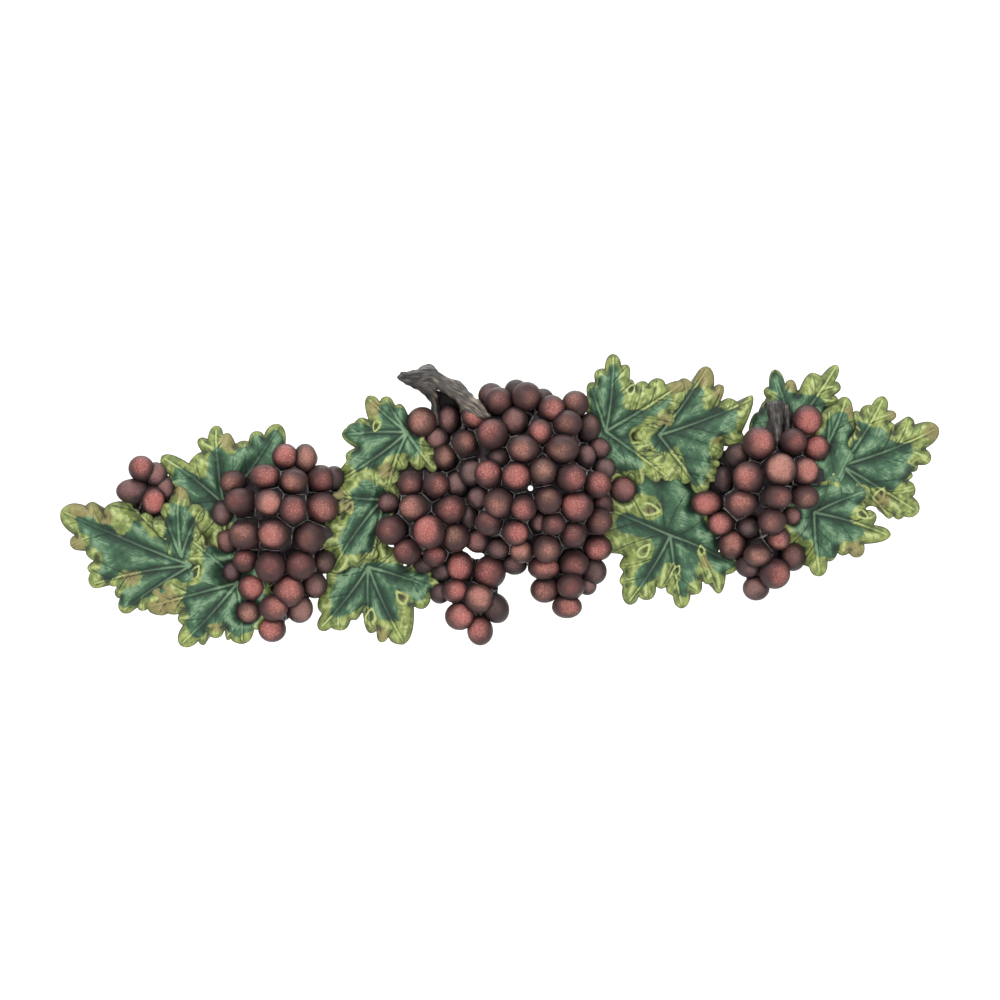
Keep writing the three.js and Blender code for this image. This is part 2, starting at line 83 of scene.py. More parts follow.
BUNCHES = [
    {
        "name": "middle",
        "swells": [
            [22, 14, 66, 72, 43], [-50, -12, 36, 38, 31], [-34, 46, 28, 26, 22],
            [-20, -64, 24, 26, 22], [46, -56, 22, 26, 22],
        ],
        "front": [
            [-1, 67, 8.6, 8.6], [18, 70, 9, 9], [35, 62, 8, 8], [51, 65, 8.3, 8.3],
            [-53, 53, 9.4, 9.4], [-17, 58, 8.3, 8.3], [-5, 44.5, 9.4, 9.4],
            [-24, 38.5, 7.6, 7.6], [-38, 29, 7, 8], [27, 46, 7.3, 7.8], [45.5, 51.5, 9, 8.3],
            [16, 34.5, 9.3, 8.3], [42, 34.5, 10.2, 8.7], [-8, 17.5, 8.4, 8.6],
            [11, 16, 8.9, 8.3], [29, 19.5, 8.3, 8.3], [48, 15, 9, 8.6], [66, 10.5, 8.3, 8.3],
            [-61, 11.5, 7.7, 7.9], [-43.5, 10, 8.3, 8], [-1, -2, 9, 9], [16, -5.5, 7.9, 7.9],
            [32.5, -0.5, 8.3, 8.3], [52, -4.5, 9.9, 9], [-58.5, -5, 8.9, 7.9],
            [-33.5, -6.5, 9.8, 8.5, 30], [-8, -15.5, 8, 7.6], [10.5, -22, 8, 7.6],
            [36, -16.5, 7.2, 6.6], [49.5, -23.5, 7.9, 7.6], [67.5, -14.5, 7.9, 8.3],
            [-74, -20.5, 9.4, 9.1], [-48, -21.5, 9.7, 10.4], [-30, -25.5, 8.3, 8.6],
            [31.5, -33, 8.3, 8.6], [14.5, -35, 7, 7], [66.5, -32.5, 9, 8],
            [-63, -35, 8.6, 7.9], [-44.5, -38, 7, 6.7], [-27, -45, 8.3, 9.4],
            [-7, -49, 10, 10.3], [29.5, -46, 9.7, 7.2], [50, -43, 9.4, 8.6],
            [-30.5, -62, 7.9, 7.2], [-14.5, -67, 9, 9], [-27.5, -79, 9, 8.6],
            [-13.5, -89, 8, 9], [30.5, -61, 9, 8.1], [48, -58.5, 8.6, 8],
            [45.5, -72.5, 9.3, 7.2],
        ],
        "rear": [
            [-6, 71, 8, 8], [11, 74, 7.3, 7.3], [29, 68, 7, 7], [-35, 55, 6.4, 9],
            [10, 53.5, 8.3, 8.6], [-42.5, 42, 7, 7], [60.5, 49, 7.3, 9], [-1, 28.5, 6, 6],
            [58, 29.5, 6.3, 7], [67.5, 35, 7, 7], [71, 21.5, 7, 7], [-19, 18, 7.5, 8],
            [83.5, 7, 8.6, 8.3], [-29, 10.5, 6.9, 8], [-14.5, 1.5, 6.8, 7],
            [70, -2.5, 6.3, 6.3], [-76, -2, 7.3, 7], [-21.5, -11.5, 5.6, 7.6],
            [26, -14.5, 5.5, 6.3], [-15, -28, 7.6, 7.2], [-1.5, -33, 7, 6.4],
            [10, -44, 7.6, 6.3], [64, -48.5, 7.9, 8.3], [-41, -63.5, 6.5, 6.5],
            [-3, -73.5, 8.2, 9.7, 25], [59.5, -58.5, 5.8, 5.8], [-39, -49, 7, 6],
            [-52, -44, 7, 6],
        ],
        "body": [[18, 72], [-6, 72], [-14, 66], [-22, 65], [-30, 70], [-37, 73], [-43, 75],
            [-46, 64], [-50, 52], [-62, 40], [-72, 20], [-78, 2], [-78, -22], [-68, -38],
            [-58, -52], [-48, -58], [-42, -66], [-32, -66], [-28, -82], [-13, -90], [-3, -77],
            [-1, -58], [3, -50], [12, -46], [22, -44], [30, -61], [46, -74], [60, -60],
            [65, -48], [68, -32], [70, -15], [82, -4], [84, 7], [74, 20], [70, 35], [62, 50],
            [52, 66], [36, 66], [29, 69]],
        "holes": [
            [-23, 48.5, 1.2], [9, 63.3, 1], [20.7, 8, 1.9], [-20, -36, 3.4], [-16.5, -37.5, 3],
            [-13, -38.5, 2.4], [-24, -33.5, 1.8], [41, -49.5, 1],
        ],
    },
    {
        "name": "left",
        "swells": [[-151, -14, 40, 52, 33], [-154, -60, 26, 32, 24]],
        "front": [
            [-146, 29.5, 8, 8], [-132.5, 28.5, 7.2, 8.9], [-159.5, 16, 9.3, 7.6],
            [-181.5, 12, 8.3, 7.5], [-139.5, 13, 8.6, 7.6], [-122, 14.5, 8.6, 8.6],
            [-176, -1, 9.7, 8.2], [-156.5, -1.5, 8.5, 8.2], [-140, -6.5, 8.6, 8.9],
            [-120.5, -5, 10.3, 9.3], [-173, -24, 10, 8.6], [-153, -23, 9.6, 8.9],
            [-129, -25.5, 8.6, 9.3], [-173, -41, 7.5, 7.5], [-155.5, -45.5, 9.3, 9.7],
            [-135.5, -44.5, 9.3, 8.9], [-169, -59.5, 8.2, 7.9], [-143.5, -62, 9.6, 9.7],
            [-171, -76, 7.9, 7.5], [-153.5, -73, 8.9, 8.2], [-155, -88, 8.6, 7.9],
        ],
        "rear": [
            [-113, 15, 7, 7.5], [-189, -9, 7.2, 8.3], [-185, -28, 7.2, 7.9],
            [-119, -42, 7, 7.5], [-182.5, -49, 6.5, 7.2], [-126, -58, 7.5, 8.2],
            [-136.5, -74, 8.3, 8.9],
        ],
        "body": [[-146, 31], [-159, 18], [-182, 13], [-190, -9], [-187, -28], [-184, -50],
            [-172, -77], [-156, -89], [-137, -76], [-126, -60], [-118, -44], [-108, -28],
            [-105, -5], [-106, 15], [-122, 16], [-132, 29]],
        "holes": [],
    },
    {
        "name": "right",
        "swells": [[180, 8, 42, 52, 33], [176, -42, 26, 28, 24]],
        "front": [
            [209, 54.5, 9.3, 9.3], [175, 38.5, 9.8, 10], [199, 39.5, 8.4, 8.4],
            [215.5, 35, 8, 8.3], [189.5, 20.5, 9.8, 10], [206.5, 19.5, 8.3, 8.4],
            [167.5, 15.5, 9.2, 9.5], [187.5, 2, 8.8, 7.3], [206.5, 2, 8.7, 7.3],
            [140.5, -2, 9.6, 7.7], [163.5, -2.5, 9.3, 8], [184, -14.5, 8.6, 8],
            [150, -16, 8, 7.3], [189, -26, 7.2, 7], [158, -30.5, 8.4, 9],
            [174.5, -37.5, 8.7, 7], [186.5, -50, 9.5, 9.4],
        ],
        "rear": [
            [161, 30.5, 7.4, 7.6], [152, 14, 5.8, 8.2], [198, -11, 5.8, 6.3],
            [169, -18.5, 6.5, 6.5], [199.5, -38.5, 8, 9], [169, -45, 7.9, 7],
            [174.5, -60, 8.3, 7.7],
        ],
        "body": [[209, 55], [197, 57], [190, 60], [184, 56], [176, 40], [160, 37], [148, 31],
            [142, 12], [139, -2], [143, -18], [150, -34], [164, -47], [174, -61], [187, -52],
            [200, -40], [200, -12], [208, 2], [218, 6], [220, 18], [217, 35]],
        "holes": [[196.5, 11, 1.2]],
    },
    {
        "name": "far_left",
        "swells": [[-240, 8, 20, 20, 12]],
        "front": [[-244, 21.5, 7.9, 7.9], [-236, 0, 7.2, 8.5]],
        "rear": [[-234.5, 17, 7, 8], [-250, 6, 10.2, 7.6], [-228, 8, 6, 7]],
        "body": [[-244, 22], [-251, 6], [-246, -10], [-222, -14], [-221, 9], [-234, 18]],
        "holes": [],
    },
]

# ---- Leaves ----
# at: where the veins meet, lift: depth there, slope: how the depth grows along x and z.
# A tooth is [x, z] of its tip and [x, z] of the notch after it, counter-clockwise, and a 1 where
# a main vein runs to it. The teeth that others hide are only rough.
# green: the line round the green paint, outside which the blade is yellow-green.
# A curl is [x, z, direction, length]: a lip of the rim rolled over, drawn to a point one way.
# ochre: [x, z, radius] of the places that the painter brushed brown.

LEAVES = [
    {
        "name": "left_tip", "at": [-210, -44.5], "lift": 18, "slope": [0.06, 0],
        "teeth": [
            [-253, 1, -257.5, -1, 1], [-265, -2, -270, -10.5],
            [-278, -1, -282, -4], [-299, -7, -290, -24, 1], [-293, -31, -282, -34],
            [-280.5, -39, -276, -41], [-281, -47, -279, -49.5], [-278, -59.5, -267, -55.5, 1],
            [-263.5, -59, -260.5, -59.5], [-262.5, -64, -259, -67], [-257, -77, -247, -72, 1],
            [-243.5, -75.5, -240, -74], [-225, -72, -215, -60], [-203, -55, -203, -45],
            [-208, -36, -220, -31], [-231, -10, -236, -13], [-240, -8.5, -245, -11],
            [-247.5, -6, -250, -3],
        ],
        "green": [[-289, -13], [-285, -10.5], [-278, -11], [-271, -16], [-264, -17.5],
            [-261, -22], [-257, -24.5], [-252, -21], [-249, -14], [-244, -16], [-236, -25],
            [-225, -28], [-212, -34], [-203, -45], [-205, -56], [-215, -60], [-243, -67],
            [-247, -71], [-253, -73.5], [-259, -71], [-259.5, -65], [-254, -60], [-244, -57],
            [-242, -51], [-247, -47.5], [-255, -48.5], [-262, -53], [-269, -55], [-273, -50],
            [-270, -43], [-272, -36], [-279, -31], [-280, -25], [-286, -21]],
        "curls": [], "ochre": [[-283, -4, 12], [-268, -12, 6], [-289, -30, 6], [-251, -53, 6]],
    },
    {
        "name": "left_upright", "at": [-216.4, -38.4], "lift": 20, "slope": [0, 0],
        "teeth": [
            [-218, 9.5, -225, -2, 1], [-230.5, -4, -227, -14, 1], [-236, -15, -233, -22],
            [-231, -25, -226, -25], [-224, -42, -215, -46], [-207, -42, -208, -29],
            [-203.5, -22, -206.5, -17], [-201, -6.5, -210, -3, 1],
        ],
        "green": [[-223, -2], [-217, -4], [-212, -5], [-209, -9], [-207, -15], [-208, -22],
            [-210, -30], [-211, -40], [-216, -45], [-222, -40], [-226, -30], [-228, -24],
            [-226, -19], [-226, -12], [-225, -6]],
        "curls": [], "ochre": [[-217, 5, 6]],
    },
    {
        "name": "left_top", "at": [-188, -3], "lift": 12, "slope": [0, 0],
        "teeth": [
            [-151, 52, -161, 44, 1], [-167, 47, -171, 39], [-176, 40.5, -180, 37.5],
            [-186, 46, -189, 45], [-193.5, 51, -199.5, 41.5, 1], [-206, 41.5, -202.5, 32.5],
            [-208.5, 30, -212, 25], [-231, 30, -225.5, 17, 1], [-228, 13.5, -223, 6],
            [-222, -8, -215, -14], [-205, -28, -199, -27], [-188, -36, -178, -24, 1],
            [-165, -12, -155, 0], [-148, 15, -146.5, 36],
        ],
        "green": [[-224, 15], [-221, 22], [-215, 21.5], [-209, 18], [-205, 14], [-200, 15],
            [-198, 24], [-198, 33], [-194, 36.5], [-189, 35], [-186, 31], [-181, 31.5],
            [-176, 36], [-171, 37], [-168, 44.5], [-164, 45], [-160, 42.5], [-155, 48],
            [-151, 49.5], [-148, 44], [-146, 25], [-150, 5], [-165, -12], [-188, -15],
            [-198, -11], [-206, -6], [-214, 2], [-220, 9]],
        "curls": [], "ochre": [[-184, 40, 7]],
    },
    {
        "name": "left_bottom", "at": [-178.4, -56.1], "lift": 20, "slope": [0, 0],
        "teeth": [
            [-203, -23, -207, -25.5], [-212, -24.5, -209.5, -35.5, 1],
            [-213.5, -38.5, -206.5, -44.5], [-209.5, -50, -216, -55.5],
            [-225.5, -54, -230, -60], [-236.5, -61.5, -236, -66.5], [-240, -73, -236.5, -77, 1],
            [-231.5, -78.5, -226, -76.5], [-221, -78, -216, -75], [-218.5, -82.5, -215.5, -85],
            [-217, -99, -205, -96, 1], [-201.5, -98.8, -198.5, -89],
            [-193.5, -94, -187, -87.5], [-185, -95.5, -183, -93.5],
            [-175.5, -98, -167, -88, 1], [-155, -80, -155, -65], [-158, -50, -170, -38],
            [-182, -30, -192, -33], [-197.5, -30.5, -200.5, -30],
        ],
        "green": [[-198, -30], [-201, -36], [-202, -42], [-201, -48], [-203, -55], [-212, -59],
            [-216, -66], [-214, -74], [-212, -80], [-212, -86], [-208, -92], [-203, -93],
            [-198, -86], [-194, -83], [-189, -83], [-185, -90], [-178, -93], [-171, -90],
            [-164, -82], [-158, -72], [-160, -50], [-172, -38], [-186, -31]],
        "curls": [[-207, -49, 60, 9]], "ochre": [[-229, -69, 12], [-193, -86, 4]],
    },
    {
        "name": "middle_top", "at": [-62.9, 45.9], "lift": 22, "slope": [0.03, 0],
        "teeth": [
            [-68.6, 65.5, -71.5, 63.5], [-77.2, 70.5, -81.5, 66.5, 1], [-89.8, 70.8, -89, 53.5, 1],
            [-96, 55.5, -99, 52.3], [-102, 51.5, -104, 49], [-107.5, 45.5, -98.5, 35.5, 1],
            [-105, 29.5, -104.5, 26], [-110, 12.5, -96, 17, 1], [-91.5, 13.3, -84.5, 20],
            [-83.5, 13, -80.5, 10.5], [-76, 4, -73, 11, 1], [-69, 13, -69.5, 20],
            [-65, 20.5, -62.5, 27.5], [-54.5, 20, -51.3, 23.5], [-44.5, 18.5, -43.8, 27, 1],
            [-43, 31, -44.4, 33], [-44.5, 36, -47.5, 39.3], [-51, 43, -57, 47],
            [-57, 55, -62.5, 58],
        ],
        "green": [[-62, 60], [-66, 62.5], [-71, 62], [-76, 68], [-80, 66.5], [-83, 57],
            [-82, 48.5], [-88, 50], [-96, 53], [-101, 51], [-105.5, 45.5], [-103, 40], [-96, 36],
            [-102, 31], [-103, 25], [-97, 20], [-89, 21.5], [-81, 23], [-77, 28], [-71, 31],
            [-66, 32], [-62, 30], [-57, 29], [-54, 34], [-54, 42], [-57, 48]],
        "curls": [[-84, 50, 250, 7]], "ochre": [[-86, 62, 6], [-77, 20, 6]],
    },
    {
        "name": "middle_side", "at": [-79.8, 0.3], "lift": 18, "slope": [-0.04, 0],
        "teeth": [
            [-109.5, 9, -111, 6], [-114, 3, -108, 0, 1], [-111.5, -6.5, -108.5, -10],
            [-119.5, -16.5, -116.5, -23], [-120, -33.5, -113, -37.5],
            [-115.5, -48.5, -102, -45.5, 1], [-97.5, -45.8, -92, -39.5],
            [-86, -40.5, -82.8, -35, 1], [-82, -30, -82, -24], [-74, -15, -70, -5],
            [-68, 5, -75, 16], [-85, 24, -98, 21],
        ],
        "green": [[-101, 5], [-94, 13], [-85, 14], [-77, 8], [-75, -12], [-81, -23], [-85, -28],
            [-88, -35], [-96, -37], [-106, -38], [-109, -30], [-107, -20], [-103, -14], [-100, -6]],
        "curls": [[-102, -5, 60, 7]], "ochre": [[-103, -4, 5], [-111, 3, 6]],
    },
    {
        "name": "middle_bottom", "at": [-89.5, -45.5], "lift": 14, "slope": [0.06, 0],
        "teeth": [
            [-41, -61, -46.8, -52, 1], [-48, -46.5, -55.5, -46], [-61, -44.5, -65.5, -45],
            [-72, -32, -77, -29.5], [-82.5, -27.5, -86, -38], [-100, -38, -108, -45],
            [-118.5, -51.5, -117.5, -57.5], [-123, -65.5, -121.5, -77.5],
            [-123.5, -88.5, -115, -87, 1], [-109, -89, -102, -82.5], [-99, -82, -93.5, -75.5],
            [-88.5, -91, -83.7, -87.8, 1], [-81.5, -97, -76, -93], [-66, -98.5, -58.5, -72.5, 1],
            [-49.5, -72.5, -47.5, -67],
        ],
        "green": [[-46, -60], [-48.5, -52], [-54, -48], [-62, -47], [-70, -44.5], [-76, -42],
            [-88, -42], [-101, -45], [-110, -48], [-113, -57], [-116, -66], [-115, -75],
            [-113, -81], [-106, -80], [-98, -76], [-93, -72], [-88, -76], [-84, -80], [-76, -83],
            [-70, -81], [-68, -74], [-71, -67], [-69, -61.5], [-64, -63], [-60, -69], [-52, -67]],
        "curls": [[-67, -66, 130, 9], [-88, -79, 80, 10]],
        "ochre": [[-82, -91, 6], [-66, -66, 3]],
    },
    {
        "name": "inner_top", "at": [71.7, 46.5], "lift": 22, "slope": [0, 0],
        "teeth": [
            [87.5, 16, 91, 16], [95, 9.8, 98.5, 16.5], [107.5, 12.3, 110, 15],
            [114.5, 13, 115, 19.5, 1], [116.5, 24, 113, 28], [111.5, 30.5, 100, 33.5],
            [103.5, 39.5, 92, 40], [89, 43.5, 97, 48], [106, 51, 111.5, 51],
            [118.5, 51, 116.5, 60], [122.5, 66.5, 122, 72], [125, 79.5, 112.5, 78.5, 1],
            [106, 82.8, 101, 78], [96, 80.8, 92, 77.5], [91, 80, 88, 82], [86.5, 92, 82.5, 91],
            [76.5, 99.3, 71, 89, 1], [66, 88.5, 65, 79.5], [61, 80, 59, 71, 1],
            [57.5, 62, 62, 56], [58, 46, 64, 38], [66, 28, 76, 20],
        ],
        "green": [[72, 86], [74.5, 93], [78.5, 92], [80, 84], [82, 76], [83, 66], [86, 61.5],
            [93, 60.5], [101, 62.5], [108, 65.5], [117, 72], [112, 62], [103, 57], [94, 51],
            [89, 46], [90, 38], [93, 31], [98, 25], [97, 20], [90, 21], [82, 19], [72, 22],
            [62, 38], [58, 50], [61, 60], [60, 70], [62, 77], [66, 77], [67, 84]],
        "curls": [[89, 75, 60, 7], [93, 44, 350, 8]], "ochre": [[121, 76, 7], [112, 54, 5]],
    },
    {
        "name": "inner_side", "at": [108, 44], "lift": 18, "slope": [0.06, 0],
        "teeth": [
            [136.5, 3, 142.5, 12, 1], [146, 12.5, 147.5, 22], [149.5, 24, 147, 27.5],
            [152, 33, 152, 39], [163, 37.5, 164.5, 46], [171.5, 71, 162.5, 64, 1],
            [157.5, 69, 148, 63.5], [151.5, 78, 145.5, 77], [140.5, 91, 131, 79, 1],
            [123, 82.5, 119.5, 79], [108, 72, 100, 60], [88, 50, 88, 40], [98, 30, 104, 24],
            [108, 12, 117, 10], [123.5, 11.5, 129.5, 12.5],
        ],
        "green": [[108, 48], [113, 51], [118, 56], [120, 63], [124, 69], [129, 74], [135, 78],
            [138, 72], [138, 64], [141, 61.5], [148, 63], [156, 61.5], [161, 57], [161, 50],
            [157, 45.5], [148, 44.5], [143, 42], [141, 36], [143, 30], [142, 22], [139, 13],
            [134, 9.5], [129, 14], [126, 22], [124, 30], [120, 36], [114, 33], [107, 31.5],
            [103, 36], [103, 44]],
        "curls": [], "ochre": [[140, 84, 8], [150, 74, 7], [124, 79, 6], [146, 42, 4]],
    },
    {
        "name": "inner_bottom", "at": [115.9, -24.1], "lift": 14, "slope": [0, 0],
        "teeth": [
            [70, -6.5, 66, -14, 1], [65, -24, 71, -33], [77.5, -36.5, 84, -38.5],
            [82, -46.5, 83.5, -50], [82, -57, 83, -61], [88, -71.5, 94.5, -65.3, 1],
            [102, -68, 106, -57.5], [110.5, -60.5, 113.5, -58.5], [115, -64, 118, -66],
            [123.5, -74, 130, -64.5, 1], [135, -64, 137.3, -54], [142, -57.5, 145, -57],
            [149, -64, 154, -51], [162.5, -43.5, 148, -36, 1], [149.5, -26.5, 142.5, -18],
            [141.5, -11, 131, -5], [131, 10, 128, 20], [110, 28, 95, 25], [80, 24, 70, 8],
        ],
        "green": [[90, 16], [93, 6], [98, 3.5], [105, 2], [110, -3], [110, -10], [103, -13],
            [94, -11], [88, -9], [81, -9.5], [77, -14], [79, -20], [85, -24], [95, -25.5],
            [102, -27], [105, -33], [103, -39], [96, -44], [91, -50], [91, -57], [97, -59],
            [104, -55], [109, -48], [113, -43.5], [118, -43], [122, -48], [121, -57], [122, -65],
            [126, -65], [129, -57], [134, -53], [135, -44], [134, -35], [137, -32], [140, -38],
            [144, -46], [151, -51], [160, -46], [162, -43], [150, -36], [149, -27], [142, -17],
            [134, -5], [131, 8], [128, 20], [110, 27], [95, 21]],
        "curls": [[102, -6.5, 350, 12], [98, -34.5, 50, 10], [120, -48, 60, 7], [137, -34, 100, 6]],
        "ochre": [[102, -7, 3], [141, -42, 5]],
    },
    {
        "name": "right_top", "at": [199.4, 48.6], "lift": 12, "slope": [0, 0],
        "teeth": [
            [231, 67.5, 227, 71.5], [232.5, 77.5, 228.5, 81], [230, 92, 219, 84.5, 1],
            [213.5, 87, 203, 72.5], [198.5, 82.3, 194.5, 79], [187.5, 89.3, 183.5, 77.5, 1],
            [180.5, 76, 181.5, 70], [179.5, 67, 176, 60], [170, 52, 172, 42], [185, 34, 205, 38],
            [218, 48, 224, 62],
        ],
        "green": [[184, 78], [184.5, 86], [188, 88.5], [192, 83], [195, 76], [199, 73],
            [206, 72.5], [213, 71], [220, 67.5], [225, 62], [215, 48], [190, 36], [172, 42],
            [172, 54], [178, 62], [184, 66], [186, 72]],
        "curls": [], "ochre": [[199, 79, 5]],
    },
    {
        "name": "right_inner", "at": [222.5, 37], "lift": 15, "slope": [0, 0],
        "teeth": [
            [235, 70.5, 229.5, 66, 1], [222.5, 62.5, 218.5, 53.5, 1], [210, 45, 208, 36],
            [210, 20, 214, 8], [228, 2, 240, 20], [243, 36, 242, 48], [241, 56, 240.5, 60],
        ],
        "green": [[218, 46], [222, 54], [229, 60], [236, 58.5], [240, 52], [241, 36], [240, 20],
            [228, 0], [212, 6], [208, 32]],
        "curls": [], "ochre": [[239, 60, 5]],
    },
    {
        "name": "right_tip", "at": [232, 23.5], "lift": 17, "slope": [-0.06, 0],
        "teeth": [
            [249, -5.5, 259.5, -7], [265.8, -12.8, 268, -10.5, 1], [272.5, -13.3, 275, -11],
            [285, -8.5, 281, 2.5, 1], [282.8, 8.5, 277.5, 13], [281.5, 17, 280.5, 19],
            [285, 21.5, 284.5, 24.5], [293.3, 26.5, 290, 35], [299, 49.5, 282.5, 51.5, 1],
            [279, 57, 269, 46.5], [268.8, 50, 265.3, 53.3], [270, 58.5, 263.7, 61],
            [261.5, 70.6, 252.8, 64.3, 1], [247.8, 64.2, 246, 58], [242, 61, 240.4, 54.7],
            [239.5, 44, 236, 36], [231, 30, 226, 26], [217, 14, 218, 8], [222, 2, 236, -2],
        ],
        "green": [[241, 50], [243, 55], [248, 54], [252, 50], [258, 48.5], [263, 45], [270, 39.5],
            [278, 38], [281, 32], [278, 26], [281.5, 22], [279, 17], [273, 12], [267, 6],
            [262, 6], [257, 9], [252, 9], [248, 2], [236, 2], [226, 10], [224, 16], [231, 21],
            [234, 29], [239, 37], [240, 44]],
        "curls": [[243.5, 45.5, 110, 9], [258, 3, 60, 10]],
        "ochre": [[268, 58, 5], [296, 47, 8], [260, 0, 6]],
    },
    {
        "name": "right_bottom", "at": [213, -8.5], "lift": 21, "slope": [0, 0],
        "teeth": [
            [217.5, -52, 222.5, -41.5, 1], [227.5, -39.5, 229, -35], [233.5, -37.8, 237, -35.5],
            [244, -39, 247.5, -30], [265.5, -23.5, 253.5, -17, 1], [254.5, -8.5, 249, -7],
            [248.8, -4.5, 247, -1.5], [251.5, 7, 243.5, 11, 1], [238, 11, 235, 9],
            [222, 14, 212, 12], [198, 8, 193, -2], [188, -10, 189, -22],
            [194, -36, 201, -38], [205, -44, 210, -46],
        ],
        "green": [[212, 12], [230, 9], [238, 9.5], [244, 9], [249, 6], [249, 0], [244, -3],
            [239, -6], [238, -11], [241, -17], [248, -20.5], [246, -25], [239, -27], [233, -29],
            [230, -34], [227, -38.5], [222, -39.5], [216, -38], [213, -31], [208, -26.5],
            [201, -22.5], [196, -15], [192, -5], [198, 6]],
        "curls": [[246, -10, 330, 8]], "ochre": [[240, -34, 7]],
    },
]

# ---- Stems ----
# outline: the stem's silhouette, [x, z] counter-clockwise.
# axes: the lines that its fibres follow, [x, depth, z, radius] from end to end.

STEMS = [
    {
        "name": "main",
        "outline": [
            [-70, 83.6], [-67.8, 80.8], [-60.5, 77], [-54.4, 73.6], [-50.2, 70.3], [-47.6, 66.7],
            [-46.7, 61.8], [-46, 50], [-40, 50], [-41, 62], [-42, 68], [-42.9, 75.5],
            [-36.8, 71.8], [-30, 67.5], [-25.9, 60.5], [-20, 52], [-6, 56], [-13.2, 67.3],
            [-16.8, 69.7], [-22.3, 75.1], [-27.1, 80.6], [-35.7, 83.3], [-41.7, 86.6],
            [-44.5, 90.5], [-48, 92.6], [-52.5, 91.8], [-56, 89], [-62, 87.8], [-67.5, 86.6],
        ],
        "axes": [
            [[-72, 14, 84, 4], [-60, 17, 82, 6], [-46, 21, 82, 9], [-30, 24, 74, 8],
                [-8, 26, 58, 9]],
            [[-62, 17, 86, 5], [-49, 16, 76, 5], [-44, 15, 66, 3], [-43, 14, 48, 3]],
        ],
    },
    {
        "name": "right",
        "outline": [
            [180.5, 66.5], [181.5, 58], [184, 50], [184, 38], [192, 38], [192, 50], [193, 60],
            [193.6, 66.8], [187, 68],
        ],
        "axes": [[[187, 14, 69, 6.5], [188, 20, 36, 5]]],
    },
    {
        "name": "right_shoot",
        "outline": [
            [192.5, 65], [192, 54], [192.5, 40], [197, 40], [198.5, 52], [199, 59], [196.5, 65],
        ],
        "axes": [[[195, 12, 67, 4], [195, 17, 38, 4]]],
    },
]

# ---- Sizes and paints ----


def linear(hex_colour):
    """The linear colour that Blender wants for an sRGB hex value such as #a8b54f."""
    values = [int(hex_colour[i:i + 2], 16) / 255 for i in (1, 3, 5)]
    return [v / 12.92 if v <= 0.04045 else ((v + 0.055) / 1.055) ** 2.4 for v in values]


def length(name, millimetres, description):
    """A length that the user sees in the scene's units."""
    return FloatProperty(
        name=name, description=description, default=millimetres * MM, min=0, precision=4,
        subtype="DISTANCE", unit="LENGTH",
    )


def colour(name, hex_colour, description):
    """A paint that the user picks from a colour wheel."""
    return FloatVectorProperty(
        name=name, description=description, default=linear(hex_colour), min=0, max=1,
        subtype="COLOR",
    )


class SwagLeafSettings(bpy.types.PropertyGroup):
    """Sizes and paints of the vine leaves."""

    cell: length("Cell", 0.62, "Size of the cells that the blades are modelled in")
    rib_height: length("Rib height", 1.3, "How far a main vein stands out where the veins meet")
    puff: length("Puff", 2.4, "How far the blade swells between the main veins")
    wave: length("Wave", 1.6, "How far the teeth of the rim wave in and out")
    crease_pitch: length("Crease pitch", 6.2, "Spacing of the fine side veins along a main vein")
    rim_droop: length("Rim droop", 3, "How much nearer the wall the rim lies")
    roundness: FloatProperty(
        name="Roundness", description="How round the teeth are, from pointed to square",
        default=0.82, min=0, max=1, subtype="FACTOR",
    )
    foot_scale: FloatProperty(
        name="Foot", description="Outline on the wall, as a share of the rim's outline",
        default=0.9, min=0.5, max=1, subtype="FACTOR",
    )
    # Deep green is painted shade: the blade's broad valleys are painted darker.
    deep: colour("Deep green", "#253e30", "Paint of the valleys beside the veins")
    green: colour("Green", "#42664b", "Paint of the blade")
    # Dry-brushed paint and painted highlight: the blade's crests and ribs are painted paler.
    mint_and_highlight: colour("Mint", "#86a481", "Dry-brushed paint on the crests of the blade")
    rim: colour("Yellow-green", "#92a058", "Paint of the rim")
    rim_shade: colour("Olive", "#697844", "Thinner paint in the folds of the rim")
    # Dry-brushed paint and painted highlight: the rim's crests and curled lips are painted paler.
    rim_pale_and_highlight: colour("Pale lip", "#bac583", "Dry-brushed paint on the rim's crests")
    ochre: colour("Ochre", "#8c7d55", "Paint of the brown lobes")
    # Dark wash and painted shade: the grooves are painted darker.
    wash: colour("Dark wash", "#28352b", "Thin antique wash that stays in the grooves")
    # Brown paint and painted shade: the rim's outer wall and outermost edge are painted darker.
    side: colour("Side", "#55543c", "Brown paint of the rim's outer wall")


